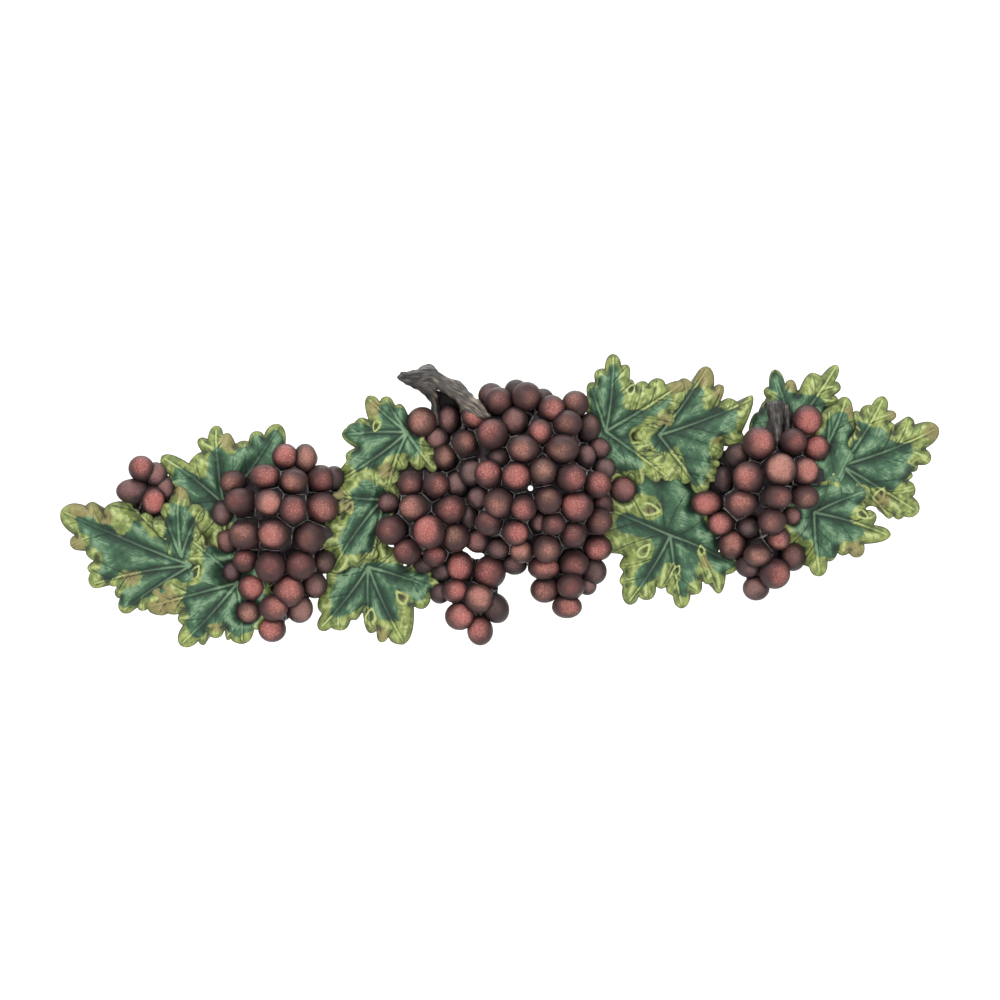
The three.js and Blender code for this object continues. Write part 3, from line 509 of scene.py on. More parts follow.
class SwagGrapeSettings(bpy.types.PropertyGroup):
    """Sizes and paints of the grapes."""

    rear_step: length("Rear step", 8, "How much nearer the wall the rear grapes sit")
    rim_depth: length("Rim depth", 15, "Depth of the front grapes at the edge of a bunch")
    rear_rim_depth: length("Rear rim depth", 11, "Depth of the rear grapes at the edge of a bunch")
    plumpness: FloatProperty(
        name="Plumpness", description="Size of the grapes, as a share of the listed sizes",
        default=1.12, min=0.5, max=1.5, subtype="FACTOR",
    )
    web_cell: length("Web cell", 0.78, "Size of the cells that the webs are modelled in")
    web_depth: length("Web depth", 5.5, "How far behind the grapes' middles the body lies")
    web_ridge: length("Web ridge", 3.6, "Height of the thin ridges between grapes")
    # Dry-brushed rose and painted highlight, on the side of each grape that faces the front and
    # mostly up.
    crown: colour("Rose", "#aa5c58", "Dry-brushed paint on the grapes' crowns")
    # The flecks gather on the painted highlight, and this is also the crown colour of the browner
    # grapes.
    fleck: colour("Flecks", "#ba8c7e", "Palest paint, caught by the grain of the casting")
    skin: colour("Red-brown", "#713f3d", "Paint of the grapes")
    # Painted shade: each grape darkens towards its edge, away from its painted crown. The random
    # dark specks use it too.
    shade: colour("Shade", "#3f2c2c", "Darker paint round a grape's foot")
    # Dark wash and painted shade: between touching grapes, on each grape's back half, over the rear
    # grapes and on the body behind them.
    crevice_wash_and_shade: colour("Crevice", "#332c2e", "Nearly black wash between the grapes")
    # Grey wear and painted highlight on the thin ridges between the grapes.
    web: colour("Web", "#96908d", "Worn grey paint on the ridges between the grapes")
    # The rear grapes are painted darker, as painted shade, with grey dust and painted highlight on
    # their crowns.
    rear: colour("Rear", "#5a5051", "Grey dust on the crowns of the grapes in the rear layer")
    umber: colour("Umber", "#6d5245", "Browner paint of some of the grapes")


class SwagStemSettings(bpy.types.PropertyGroup):
    """Sizes and paints of the stem."""

    cell: length("Cell", 0.6, "Size of the cells that the stems are modelled in")
    bark_depth: length("Bark depth", 0.55, "Depth of the furrows along the bark")
    bark: colour("Bark", "#4e4945", "Grey-brown paint of the bark")
    # Dry-brushed tan and painted highlight on the bark's crests.
    bark_tan_and_highlight: colour("Bark crests", "#8b7d6c", "Dry-brushed tan on the bark's crests")
    # Dark wash and painted shade in the bark's furrows and along the stem's edges.
    bark_wash_and_shade: colour("Bark furrows", "#262425", "Dark wash in the bark's furrows")


class SwagBackSettings(bpy.types.PropertyGroup):
    """Sizes and finish of the flat back."""

    cell: length("Cell", 2, "Size of the cells that the back is modelled in")
    thickness: length("Thickness", 5, "Depth of the flat body along the wall")
    resin: colour("Resin", "#8b7f70", "Bare poured resin of the back")


class SwagStageSettings(bpy.types.PropertyGroup):
    """The studio round the swag."""

    lens: FloatProperty(
        name="Lens", description="Focal length of the camera, in millimetres",
        default=120, min=20, max=300, subtype="DISTANCE_CAMERA",
    )
    view_width: length("View width", 679.5, "Width of the view where the plaque is")
    backdrop: length("Backdrop", 2600, "Distance from the wall plane to the pale backdrop")
    floor: length("Floor", 750, "Height of the plaque's middle over the floor")
    pale: colour("Backdrop", "#f4f4f2", "Matt white paper of the backdrop and floor")


# ---- Meshes ----


def deselect():
    """Leaves nothing selected."""
    bpy.ops.object.select_all(action="DESELECT")


def activate(piece):
    """Makes one piece the only one selected."""
    deselect()
    piece.select_set(True)
    bpy.context.view_layer.objects.active = piece


@contextmanager
def editing():
    """Edit mode for as long as a block runs."""
    bpy.ops.object.mode_set(mode="EDIT")
    yield
    bpy.ops.object.mode_set(mode="OBJECT")


def places(piece):
    """The places of a mesh's points as three rows, x, y and z, in millimetres."""
    values = np.empty(3 * len(piece.data.vertices), np.float32)
    piece.data.vertices.foreach_get("co", values)
    return values.reshape(-1, 3).T.astype(float) / MM


def move_points(piece, x, y, z):
    """Puts a mesh's points at places in millimetres."""
    values = MM * np.stack([x, y, z], axis=1)
    piece.data.vertices.foreach_set("co", values.astype(np.float32).ravel())
    piece.data.update()


def chosen(piece):
    """Which points of a mesh are selected."""
    values = np.empty(len(piece.data.vertices), bool)
    piece.data.vertices.foreach_get("select", values)
    return values


def choose(piece, which):
    """Selects points of a mesh, and the edges that join them."""
    mesh = piece.data
    mesh.vertices.foreach_set("select", which)
    mesh.edges.foreach_set("select", which[edge_ends(piece)].all(axis=1))
    mesh.polygons.foreach_set("select", np.zeros(len(mesh.polygons), bool))


def edge_ends(piece):
    """The two points that each edge of a mesh joins."""
    ends = np.empty(2 * len(piece.data.edges), np.int32)
    piece.data.edges.foreach_get("vertices", ends)
    return ends.reshape(-1, 2)


def border(piece):
    """Which points lie on the open edge of a sheet."""
    mesh = piece.data
    used = np.empty(len(mesh.loops), np.int32)
    mesh.loops.foreach_get("edge_index", used)
    single = np.bincount(used, minlength=len(mesh.edges)) == 1
    which = np.zeros(len(mesh.vertices), bool)
    which[edge_ends(piece)[single].ravel()] = True
    return which


def smoothed(piece, values, passes, fixed=None):
    """Values at a mesh's points, averaged with their neighbours' a few times over."""
    a, b = edge_ends(piece).T
    count = len(values)
    number = np.maximum(np.bincount(a, minlength=count) + np.bincount(b, minlength=count), 1)
    for _ in range(passes):
        around = np.bincount(a, values[b], count) + np.bincount(b, values[a], count)
        mean = 0.5 * values + 0.5 * around / number
        values = mean if fixed is None else np.where(fixed, values, mean)
    return values


def store(piece, name, values):
    """Keeps a number for each point of a mesh, for its material to read."""
    attribute = piece.data.attributes.get(name)
    if attribute is None:
        attribute = piece.data.attributes.new(name, "FLOAT", "POINT")
    attribute.data.foreach_set("value", np.asarray(values, np.float32))


def ease(value, low, high):
    """Rises smoothly from 0 at low to 1 at high."""
    share = np.clip((value - low) / (high - low), 0, 1)
    return share * share * (3 - 2 * share)


def bell(value, width):
    """1 where the value is zero, fading to nothing a couple of widths away."""
    return np.exp(-((value / width) ** 2))


def ripple(x, z, size, seed):
    """Smooth uneven waves from about -1 to 1, with humps about size millimetres across."""
    waves = 7
    random = np.random.default_rng(seed)
    total = np.zeros_like(x)
    for _ in range(waves):
        turn, phase = random.uniform(0, TAU, 2)
        pitch = size * random.uniform(1.4, 3)
        total += np.sin((x * math.cos(turn) + z * math.sin(turn)) * TAU / pitch + phase)
    return total / math.sqrt(waves)


def seed_of(name):
    """A number of its own for each name, so that every piece varies its own way."""
    return sum(map(ord, name))


def bezier(start, control, end, count):
    """Points along a curve, without its last one."""
    t = np.arange(count)[:, None] / count
    return (1 - t) ** 2 * start + 2 * t * (1 - t) * control + t * t * end


def line_inside(line, x, z):
    """How far places lie inside a closed line of points, less than nothing outside it."""
    x1, z1 = line.T
    span_x, span_z = (np.roll(line, -1, axis=0) - line).T
    steep = np.where(span_z == 0, 1e-9, span_z)
    found = np.empty_like(x)
    for start in range(0, len(x), BATCH):
        part = slice(start, start + BATCH)
        off_x, off_z = x[part, None] - x1, z[part, None] - z1
        share = (off_x * span_x + off_z * span_z) / (span_x ** 2 + span_z ** 2)
        share = np.clip(share, 0, 1)
        apart = ((off_x - share * span_x) ** 2 + (off_z - share * span_z) ** 2).min(axis=1)
        crossed = ((off_z < 0) != (off_z < span_z)) & (off_x < off_z * span_x / steep)
        odd = crossed.sum(axis=1) % 2 == 1
        found[part] = np.where(odd, 1, -1) * np.sqrt(apart)
    return found


def nearest(x, z, lines):
    """The nearest of some lines: its distance, its share, the side, the run along it, its number.

    A line is a list of [x, z, value], and the share is its value at the nearest place."""
    best = np.full_like(x, FAR)
    share, side, along, number = (np.zeros_like(x) for _ in range(4))
    for order, line in enumerate(lines):
        run = 0.0
        for (x1, z1, value1), (x2, z2, value2) in zip(line, line[1:]):
            span_x, span_z = x2 - x1, z2 - z1
            size = math.hypot(span_x, span_z)
            t = np.clip(((x - x1) * span_x + (z - z1) * span_z) / size ** 2, 0, 1)
            off_x, off_z = x - x1 - t * span_x, z - z1 - t * span_z
            apart = np.hypot(off_x, off_z)
            nearer = apart < best
            best = np.where(nearer, apart, best)
            share = np.where(nearer, value1 + (value2 - value1) * t, share)
            across = (off_z * span_x - off_x * span_z) / size
            side = np.where(nearer, across, side)
            along = np.where(nearer, run + t * size, along)
            number = np.where(nearer, order, number)
            run += size
    return best, share, side, along, number


def cut_sheet(name, low, high, cell, inside):
    """A flat upright sheet of square cells, cut along the line where inside(x, z) is zero."""
    width, height = high[0] - low[0], high[1] - low[1]
    deselect()
    bpy.ops.mesh.primitive_grid_add(
        x_subdivisions=math.ceil(width / cell), y_subdivisions=math.ceil(height / cell), size=1,
        location=(MM * (low[0] + width / 2), 0, MM * (low[1] + height / 2)),
        rotation=(TAU / 4, 0, 0),
    )
    sheet = bpy.context.object
    sheet.name = sheet.data.name = name
    sheet.scale = (MM * width, MM * height, 1)
    bpy.ops.object.transform_apply()
    x, _, z = places(sheet)
    choose(sheet, inside(x, z) < -0.4 * cell)  # the rest of the rim slides on to the line
    with editing():
        bpy.ops.mesh.delete(type="VERT")
        bpy.ops.mesh.select_all(action="SELECT")
        bpy.ops.mesh.delete_loose(use_verts=True, use_edges=True, use_faces=False)
    settle_rim(sheet, inside)
    return sheet


def settle_rim(sheet, inside):
    """Slides a sheet's open edge on to the line where inside(x, z) is zero."""
    step, rounds = 0.05, 4
    x, y, z = places(sheet)
    rim = border(sheet)
    for _ in range(rounds):
        here = inside(x[rim], z[rim])
        slope_x = (inside(x[rim] + step, z[rim]) - here) / step
        slope_z = (inside(x[rim], z[rim] + step) - here) / step
        steep = np.maximum(slope_x ** 2 + slope_z ** 2, 0.3)  # no long leaps where it is level
        x[rim] -= here * slope_x / steep
        z[rim] -= here * slope_z / steep
    x, z = smoothed(sheet, x, rounds, rim), smoothed(sheet, z, rounds, rim)
    move_points(sheet, x, y, z)


def wall_in(sheet, rings):
    """Carries a sheet's open edge back to the wall and closes it there.

    Each ring turns the rim's x, y and z into its own."""
    activate(sheet)
    with editing():
        bpy.ops.mesh.select_mode(type="EDGE")
        bpy.ops.mesh.select_all(action="SELECT")
        bpy.ops.mesh.region_to_loop()
    rim = chosen(sheet)
    rim_places = [row[rim] for row in places(sheet)]
    for ring in rings:
        before = len(sheet.data.vertices)
        with editing():
            bpy.ops.mesh.extrude_region_move()
        x, y, z = places(sheet)
        new = np.arange(len(x)) >= before
        if new.sum() != rim.sum():
            raise RuntimeError(f"{sheet.name}: a ring has {new.sum()} points, not {rim.sum()}")
        x[new], y[new], z[new] = ring(*rim_places)
        move_points(sheet, x, y, z)
    with editing():
        bpy.ops.mesh.fill(use_beauty=False)
        bpy.ops.mesh.select_all(action="SELECT")
        bpy.ops.mesh.normals_make_consistent(inside=False)


def thicken(sheet, far):
    """Makes a sheet a solid by a flat copy of it at the depth far, walled in all round."""
    before = len(sheet.data.vertices)
    activate(sheet)
    with editing():
        bpy.ops.mesh.select_all(action="SELECT")
        bpy.ops.mesh.extrude_region_move()
    x, y, z = places(sheet)
    y[before:] = -far
    move_points(sheet, x, y, z)
    with editing():
        bpy.ops.mesh.select_all(action="SELECT")
        bpy.ops.mesh.normals_make_consistent(inside=False)


def finish_piece(piece, material):
    """Gives a finished piece its paint and hangs it on the casting that it stands for."""
    activate(piece)
    bpy.ops.object.shade_smooth()
    piece.data.materials.clear()
    piece.data.materials.append(material)
    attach(piece, "root")
    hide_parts("plaque")


# ---- Nodes ----


def add(tree, kind, inputs=None, **settings):
    """Adds a node with its settings. An input that is a socket is linked, anything else is set."""
    node = tree.nodes.new(kind)
    for name, value in settings.items():
        setattr(node, name, value)
    for name, value in (inputs or {}).items():
        socket = node.inputs[name]
        if isinstance(value, bpy.types.NodeSocket):
            tree.links.new(value, socket)
        elif socket.type == "RGBA":
            socket.default_value = (*value[:3], 1)
        else:
            socket.default_value = value
    return node


def new_material(name):
    """An empty material and its node tree."""
    material = bpy.data.materials.new(name)
    material.use_nodes = True
    material.node_tree.nodes.clear()
    return material, material.node_tree


def read(tree, name):
    """A number kept at each point of the mesh."""
    return add(tree, "ShaderNodeAttribute", attribute_name=name).outputs["Fac"]


def mixed(tree, share, first, second):
    """The colour a share of the way from the first to the second."""
    return add(tree, "ShaderNodeMix", {0: share, 6: first, 7: second}, data_type="RGBA").outputs[2]


def reckon(tree, operation, *values):
    """A sum on numbers."""
    return add(tree, "ShaderNodeMath", dict(enumerate(values)), operation=operation).outputs[0]


def swing(tree, base, noise, reach):
    """A number that a noise moves up and down by as much as half of reach."""
    return reckon(tree, "MULTIPLY_ADD", reckon(tree, "SUBTRACT", noise, 0.5), reach, base)


def ramp(tree, value, low, high, to_low=0, to_high=1):
    """Rises smoothly from to_low at low to to_high at high."""
    sockets = {"Value": value, 1: low, 2: high, 3: to_low, 4: to_high}
    node = add(tree, "ShaderNodeMapRange", sockets, interpolation_type="SMOOTHSTEP")
    return node.outputs["Result"]


def speckle(tree, size, vector=None, detail=2.0, roughness=0.5):
    """Noise whose grains are about size millimetres across."""
    if vector is None:
        vector = add(tree, "ShaderNodeTexCoord").outputs["Object"]
        size = size * MM
    sockets = {"Vector": vector, "Scale": 1 / size, "Detail": detail, "Roughness": roughness}
    return add(tree, "ShaderNodeTexNoise", sockets).outputs["Fac"]


def surface(tree, colour, roughness, bumps, height, specular=0.5):
    """A shader with a fine bump, whose height is in millimetres."""
    bump = add(tree, "ShaderNodeBump", {"Height": bumps, "Strength": 1, "Distance": height * MM})
    shader = add(tree, "ShaderNodeBsdfPrincipled", {
        "Base Color": colour, "Roughness": roughness, "Normal": bump.outputs[0],
        "Specular IOR Level": specular,
    })
    add(tree, "ShaderNodeOutputMaterial", {"Surface": shader.outputs[0]})


# ---- Leaves ----


class Blade:
    """A leaf's outline, the outline of its green part, its veins and its teeth, in millimetres."""

    vein_angle = math.radians(40)
    rib_points, twig_points, tooth_points = 10, 4, 8

    def __init__(self, leaf, roundness):
        self.heart = np.array(leaf["at"], float)
        self.green_line = np.array(leaf["green"], float)
        self.teeth, line = [], []
        before = np.array(leaf["teeth"][-1][2:4], float)
        for tip_x, tip_z, after_x, after_z, *main in leaf["teeth"]:
            tip, after = np.array([tip_x, tip_z], float), np.array([after_x, after_z], float)
            axis = tip - (before + after) / 2
            tall = np.linalg.norm(axis)
            axis /= tall
            sides = []
            for notch in (before, after):
                level = notch + axis * ((tip - notch) @ axis)
                sides.append((1 - roundness) * (notch + tip) / 2 + roundness * level)
            line.append(bezier(before, sides[0], tip, self.tooth_points))
            line.append(bezier(tip, sides[1], after, self.tooth_points))
            self.teeth.append((tip, axis, tall, bool(main)))
            before = after
        self.line = np.concatenate(line)
        self.draw_veins()

    def draw_veins(self):
        """Main veins from the heart to the main teeth, and veins that branch off to the others."""
        self.ribs, self.twigs = [], []
        for tip, axis, _, main in self.teeth:
            if main:
                end = tip - 3 * axis
                way = end - self.heart
                bow = 0.06 * math.sin(0.9 * tip[0] + tip[1]) * np.array([-way[1], way[0]])
                self.ribs.append(vein(self.heart, self.heart + way / 2 + bow, end, self.rib_points))
        for tip, axis, _, main in self.teeth:
            if not main:
                self.branch_off(tip - 1.8 * axis)

    def branch_off(self, end):
        """A vein to one tooth, from the main vein that turns the least from it."""
        way = end - self.heart
        turns = []
        for rib in self.ribs:
            along = np.array(rib[-1][:2]) - self.heart
            cosine = (along @ way) / (np.linalg.norm(along) * np.linalg.norm(way))
            turns.append(math.acos(max(-1.0, min(1.0, cosine))))
        turn = min(turns)
        rib_x, rib_z, shares = zip(*self.ribs[turns.index(turn)])
        reach = math.cos(turn) - math.sin(turn) / math.tan(self.vein_angle)
        tip = np.array([rib_x[-1], rib_z[-1]])
        share = reach * np.linalg.norm(way) / np.linalg.norm(tip - self.heart)
        share = max(0.06, min(0.85, share))
        start = np.array([np.interp(share, shares, row) for row in (rib_x, rib_z)])
        control = start + 0.5 * (end - start) + 0.08 * (tip - start)
        self.twigs.append(vein(start, control, end, self.twig_points))

    def inside(self, x, z):
        """How far places lie inside the leaf's outline."""
        return line_inside(self.line, x, z)


def vein(start, control, end, count):
    """A curved vein, as [x, z, share of the way along it]."""
    points = [*bezier(start, control, end, count), end]
    return [(*point, share) for point, share in zip(points, np.linspace(0, 1, count + 1))]


def curl_share(x, z, curl):
    """How far a place is from the middle of a curled lip and how far towards its tip, as shares."""
    at_x, at_z, direction, size = curl
    turn = math.radians(direction)
    along = ((x - at_x) * math.cos(turn) + (z - at_z) * math.sin(turn)) / (0.5 * size)
    across = ((z - at_z) * math.cos(turn) - (x - at_x) * math.sin(turn)) / (0.3 * size)
    return np.hypot(along, across / (1 - 0.4 * np.clip(along, -1, 1))), along


def patch_share(x, z, patches):
    """How strongly some patches of paint, each [x, z, radius], cover a place."""
    share = np.zeros_like(x)
    for at_x, at_z, radius in patches:
        apart = np.hypot(x - at_x, z - at_z)
        share = np.maximum(share, 1 - ease(apart, 0.6 * radius, 1.4 * radius))
    return share


def sunk_under(grapes, x, z):
    """The most that a blade may stand out, so that it passes behind the grapes in front of it."""
    reach = 10  # how far round a grape the blade still bends back, in millimetres
    most = np.full_like(x, FAR)
    for at_x, depth, at_z, wide, high, *_ in grapes:
        radius = (wide + high) / 2
        apart = np.hypot(x - at_x, z - at_z) - radius
        if apart.min() < reach:
            most = np.minimum(most, depth + 2.5 + np.maximum(apart + 1, 0))
    return most


def blade_body(leaf, blade, sizes, x, z, edge, rib, twig):
    """The broad form of a blade as depths: its slope, the swells between its veins, its teeth."""
    seed = seed_of(leaf["name"])
    random = np.random.default_rng(seed)
    off_x, off_z = x - leaf["at"][0], z - leaf["at"][1]
    body = leaf["lift"] + leaf["slope"][0] * off_x + leaf["slope"][1] * off_z
    body += 1.5 * ease(np.hypot(off_x, off_z), 0, 20)  # dished round the heart
    body -= sizes.rim_droop / MM * (1 - ease(edge, 0, 10))
    body += sizes.puff / MM * (1 - bell(rib, 6)) * ease(edge, 0, 8)
    body += 0.9 * (1 - bell(twig, 3.5)) * ease(edge, 0, 5) * (1 - bell(rib, 4))
    for tip, axis, tall, _ in blade.teeth:  # each tooth waves in or out, leans and is fluted
        near = bell(np.hypot(x - tip[0], z - tip[1]), 5 + 0.25 * tall)
        across = (z - tip[1]) * axis[0] - (x - tip[0]) * axis[1]
        lean = random.uniform(-0.22, 0.22) * across
        wave = random.uniform(-1, 1) * sizes.wave / MM + lean
        body += near * (1 - ease(edge, 5, 14)) * wave
        flutes = np.sin(across * TAU / random.uniform(1.9, 2.6) + random.uniform(0, TAU))
        body += 0.14 * near * flutes
    return body + 0.45 * ripple(x, z, 10, seed)


def blade_relief(leaf, sizes, x, z, edge, ribs, twigs, lip):
    """The crisp relief of a blade: ribs with a groove down them, side veins, creases and curls."""
    seed = seed_of(leaf["name"])
    rib, share, rib_side, rib_along, _ = ribs
    twig, twig_share, *_ = twigs
    width = rib_width(share)
    # A rib has a groove down it and one on each side, and sinks towards the tip.
    rise = sizes.rib_height / MM * (1 - 0.6 * share)
    relief = rise * (bell(rib, width) - 0.45 * bell(rib, 0.35 * width))
    relief -= 0.35 * rise * bell(rib - 1.9 * width, 0.6 * width)
    relief += (0.22 * bell(twig - 1, 0.6) - 0.42 * bell(twig, 0.5)) * (1 - 0.5 * twig_share)
    # Fine side veins run off the ribs in pairs, uneven and broken, and only mid blade.
    pitch = sizes.crease_pitch / MM
    order = (rib_along - 0.9 * np.abs(rib_side) + 2.4 * ripple(x, z, 12, seed + 3)) / pitch
    crease = pitch * np.abs(order - np.round(order))
    middle = ease(rib, 1.5, 3) * (1 - ease(rib, 10, 16)) * ease(edge, 1, 4)
    middle *= ease(ripple(x, z, 9, seed + 4), -0.9, 0.4)
    relief += middle * (0.1 * ease(crease, 0, 1.6) - 0.24 * bell(crease, 0.4))
    # The blade is a little rough, and its rim is lightly rolled over.
    relief += 0.13 * ripple(x, z, 2.6, seed + 1) * ease(edge, 0, 3)
    relief += 0.1 * bell(edge - 1.1, 0.7) - 0.4 * bell(edge, 0.6)
    for curl in leaf["curls"]:
        ring, ahead = curl_share(x, z, curl)
        crescent = bell(ring - 1, 0.26) * (0.45 + 0.55 * ease(ahead, -0.9, 0.4))
        # The crescent also marks the curled lip for its pale paint and painted highlight.
        lip[:] = np.maximum(lip, crescent)
        relief += 1.1 * crescent - 0.8 * bell(ring, 0.6)
    return relief


def rib_width(share):
    """How wide a main vein is a share of the way along it, in millimetres."""
    return 1.0 - 0.5 * share


def model_leaf(leaf, sizes, grapes):
    """One leaf: a blade of fine cells with its veins and waved rim, walled in to the wall."""
    blade = Blade(leaf, sizes.roundness)
    sheet = cut_sheet(
        f"leaf_{leaf['name']}", blade.line.min(axis=0) - 1, blade.line.max(axis=0) + 1,
        sizes.cell / MM, blade.inside,
    )
    x, _, z = places(sheet)
    edge = np.where(border(sheet), 0, np.maximum(blade.inside(x, z), 0))
    ribs = nearest(x, z, blade.ribs)
    rib, share, rib_side, rib_along, rib_number = ribs
    twigs = nearest(x, z, blade.twigs) if blade.twigs else (rib + 99, share)
    lip = np.zeros_like(x)

    body = blade_body(leaf, blade, sizes, x, z, edge, rib, twigs[0])
    body = smoothed(sheet, np.minimum(body, sunk_under(grapes, x, z)), 6)
    relief = blade_relief(leaf, sizes, x, z, edge, ribs, twigs, lip)
    depth = np.maximum(body + relief, LEAST_DEPTH)
    move_points(sheet, x, -depth, z)

    level = smoothed(sheet, depth, 14)
    painted = line_inside(blade.green_line, x, z)
    painted += 0.9 * ripple(x, z, 6, seed_of(leaf["name"]) + 2)
    for curl in leaf["curls"]:
        painted -= 9 * bell(curl_share(x, z, curl)[0], 1.1)
    guides = {
        "painted": painted,
        "fine": np.clip((depth - level) / 0.3, -1, 1),
        "broad": np.clip((level - smoothed(sheet, depth, 160)) / 0.9, -1, 1),
        "rib": bell(rib, 1.3 * rib_width(share)) * (1 - 0.5 * share),
        "lip": lip,
        "ochre": patch_share(x, z, leaf["ochre"]),
        "edge": edge,
        "stroke_along": rib_along + 40 * rib_number,
        "stroke_across": rib_side,
    }
    for name, values in guides.items():
        store(sheet, name, values)

    at_x, at_z = leaf["at"]

    def ring(shrink, depth_of):
        """A ring of the side wall, drawn in towards the heart and set at its own depth."""
        return lambda x, y, z: (at_x + shrink * (x - at_x), depth_of(y), at_z + shrink * (z - at_z))

    wall_in(sheet, [
        ring(1, lambda y: y + 0.9),
        ring(0.98, lambda y: np.minimum(y + 2.2, -2.5)),
        ring(0.93, lambda y: 0.5 * y - 1.2),
        ring(sizes.foot_scale, lambda y: 0 * y - 2),
    ])
    store(sheet, "side", np.arange(len(sheet.data.vertices)) >= len(x))
    return sheet


def leaf_paint(paints):
    """Acrylic paint brushed on resin in layers, with light and shade painted into it.

    The blade is green, painted darker in its broad valleys and in its grooves, where a thin dark
    wash adds painted shade, and paler on its crests and ribs, dry-brushed with painted highlight.
    The rim is yellow-green with paler crests and curled lips, also painted highlight, and its edge
    and wall are brown with painted shade. The dark grooves give the eye the crisp veins. The paint
    is satin."""
    material, tree = new_material("brushed_acrylic_with_painted_light_and_shade_on_resin_leaf")
    strokes = add(tree, "ShaderNodeCombineXYZ", {
        "X": reckon(tree, "MULTIPLY", read(tree, "stroke_along"), 0.2),
        "Y": read(tree, "stroke_across"),
    }).outputs[0]
    streaks = speckle(tree, 1.2, strokes, 3)
    patches = speckle(tree, 14)
    blotches = speckle(tree, 5, detail=3)
    grains = speckle(tree, 0.8)
    fine, broad = read(tree, "fine"), read(tree, "broad")

    # Painted shade and light from the broad relief: darker in the valleys, paler on the swells,
    # broken by random patches.
    relief_shade_and_patches = swing(tree, swing(tree, broad, patches, 2.0), blotches, 1.6)
    green = mixed(tree, ramp(tree, relief_shade_and_patches, -0.8, 0.7), paints.deep, paints.green)
    # Dry-brushed paint and painted highlight: paler on the crests and along the ribs.
    dry = swing(tree, reckon(tree, "MULTIPLY_ADD", fine, 0.6, relief_shade_and_patches), streaks, 3.0)
    green = mixed(tree, ramp(tree, dry, 0.4, 2.0, 0, 0.8), green, paints.mint_and_highlight)
    green = mixed(tree, ramp(tree, read(tree, "rib"), 0.45, 1, 0, 0.55), green, paints.mint_and_highlight)

    rim = mixed(tree, ramp(tree, blotches, 0.38, 0.66), paints.rim_shade, paints.rim)
    # Dry-brushed paint and painted highlight on the rim's crests and curled lips.
    brushed = ramp(tree, swing(tree, fine, streaks, 1.0), 0.15, 1.1, 0, 0.9)
    rim = mixed(tree, brushed, rim, paints.rim_pale_and_highlight)
    rim = mixed(tree, ramp(tree, read(tree, "lip"), 0.4, 0.9), rim, paints.rim_pale_and_highlight)
    ochre = swing(tree, read(tree, "ochre"), blotches, 0.8)
    rim = mixed(tree, ramp(tree, ochre, 0.2, 1.1, 0, 0.75), rim, paints.ochre)

    ragged = swing(tree, swing(tree, read(tree, "painted"), streaks, 3.0), blotches, 3.0)
    paint = mixed(tree, ramp(tree, ragged, -0.9, 0.9), rim, green)
    paint = mixed(tree, ramp(tree, grains, 0.54, 0.64, 0, 0.35), paint, paints.wash)
    # Dark wash and painted shade in the grooves.
    groove_wash_and_shade = ramp(tree, swing(tree, fine, grains, 0.4), -1.0, -0.1, 0.85, 0)
    paint = mixed(tree, groove_wash_and_shade, paint, paints.wash)
    # Brown paint and painted shade along the outermost edge, where the rim rolls away.
    edge_paint_and_shade = ramp(tree, swing(tree, read(tree, "edge"), blotches, 3.5), -0.2, 1.8, 0.6, 0)
    paint = mixed(tree, edge_paint_and_shade, paint, paints.side)
    # Brown paint and painted shade on the rim's outer wall.
    paint = mixed(tree, ramp(tree, read(tree, "side"), 0.1, 0.9, 0, 0.8), paint, paints.side)
    surface(tree, paint, ramp(tree, patches, 0.3, 0.7, 0.42, 0.56), streaks, 0.08, SATIN)
    return material


# ---- Grapes ----


def swell_depth(swells, x, z):
    """The depth of the dome that carries a place, as the one that stands out most there."""
    depths = []
    for at_x, at_z, half_width, half_height, top in swells:
        share = 1 - ((x - at_x) / half_width) ** 2 - ((z - at_z) / half_height) ** 2
        depths.append(top * math.sqrt(max(share, 0)))
    return max(depths)


def grapes_of(bunch, sizes):
    """Where a bunch's grapes sit: x, depth, z, half width, half height, tilt, and 1 if behind."""
    random = np.random.default_rng(seed_of(bunch["name"]))
    grapes = []
    for layer, lowest in enumerate((sizes.rim_depth, sizes.rear_rim_depth)):
        for x, z, wide, high, *tilt in bunch[("front", "rear")[layer]]:
            wide, high = sizes.plumpness * wide, sizes.plumpness * high
            depth = swell_depth(bunch["swells"], x, z) - layer * sizes.rear_step / MM
            clear = 1.1 * max(wide, high) + 1.5  # keeps the whole grape in front of the wall
            depth = max(depth, lowest / MM, clear) + random.uniform(-0.5, 1)
            grapes.append([x, depth, z, wide, high, sum(tilt), layer])
    return np.array(grapes)


def first_grape():
    """A grape to copy: a ball drawn in where its stalk was."""
    deselect()
    bpy.ops.mesh.primitive_uv_sphere_add(segments=32, ring_count=18, radius=1)
    grape = bpy.context.object
    for end, pull in ((1, -0.08), (-1, 0.03)):  # the stalk's end, then a slight point
        choose(grape, np.array([v.co.z * end > 0.98 for v in grape.data.vertices]))
        with editing():
            bpy.ops.transform.translate(
                value=(0, 0, pull), use_proportional_edit=True, proportional_size=0.3,
                proportional_edit_falloff="SMOOTH",
            )
    return grape


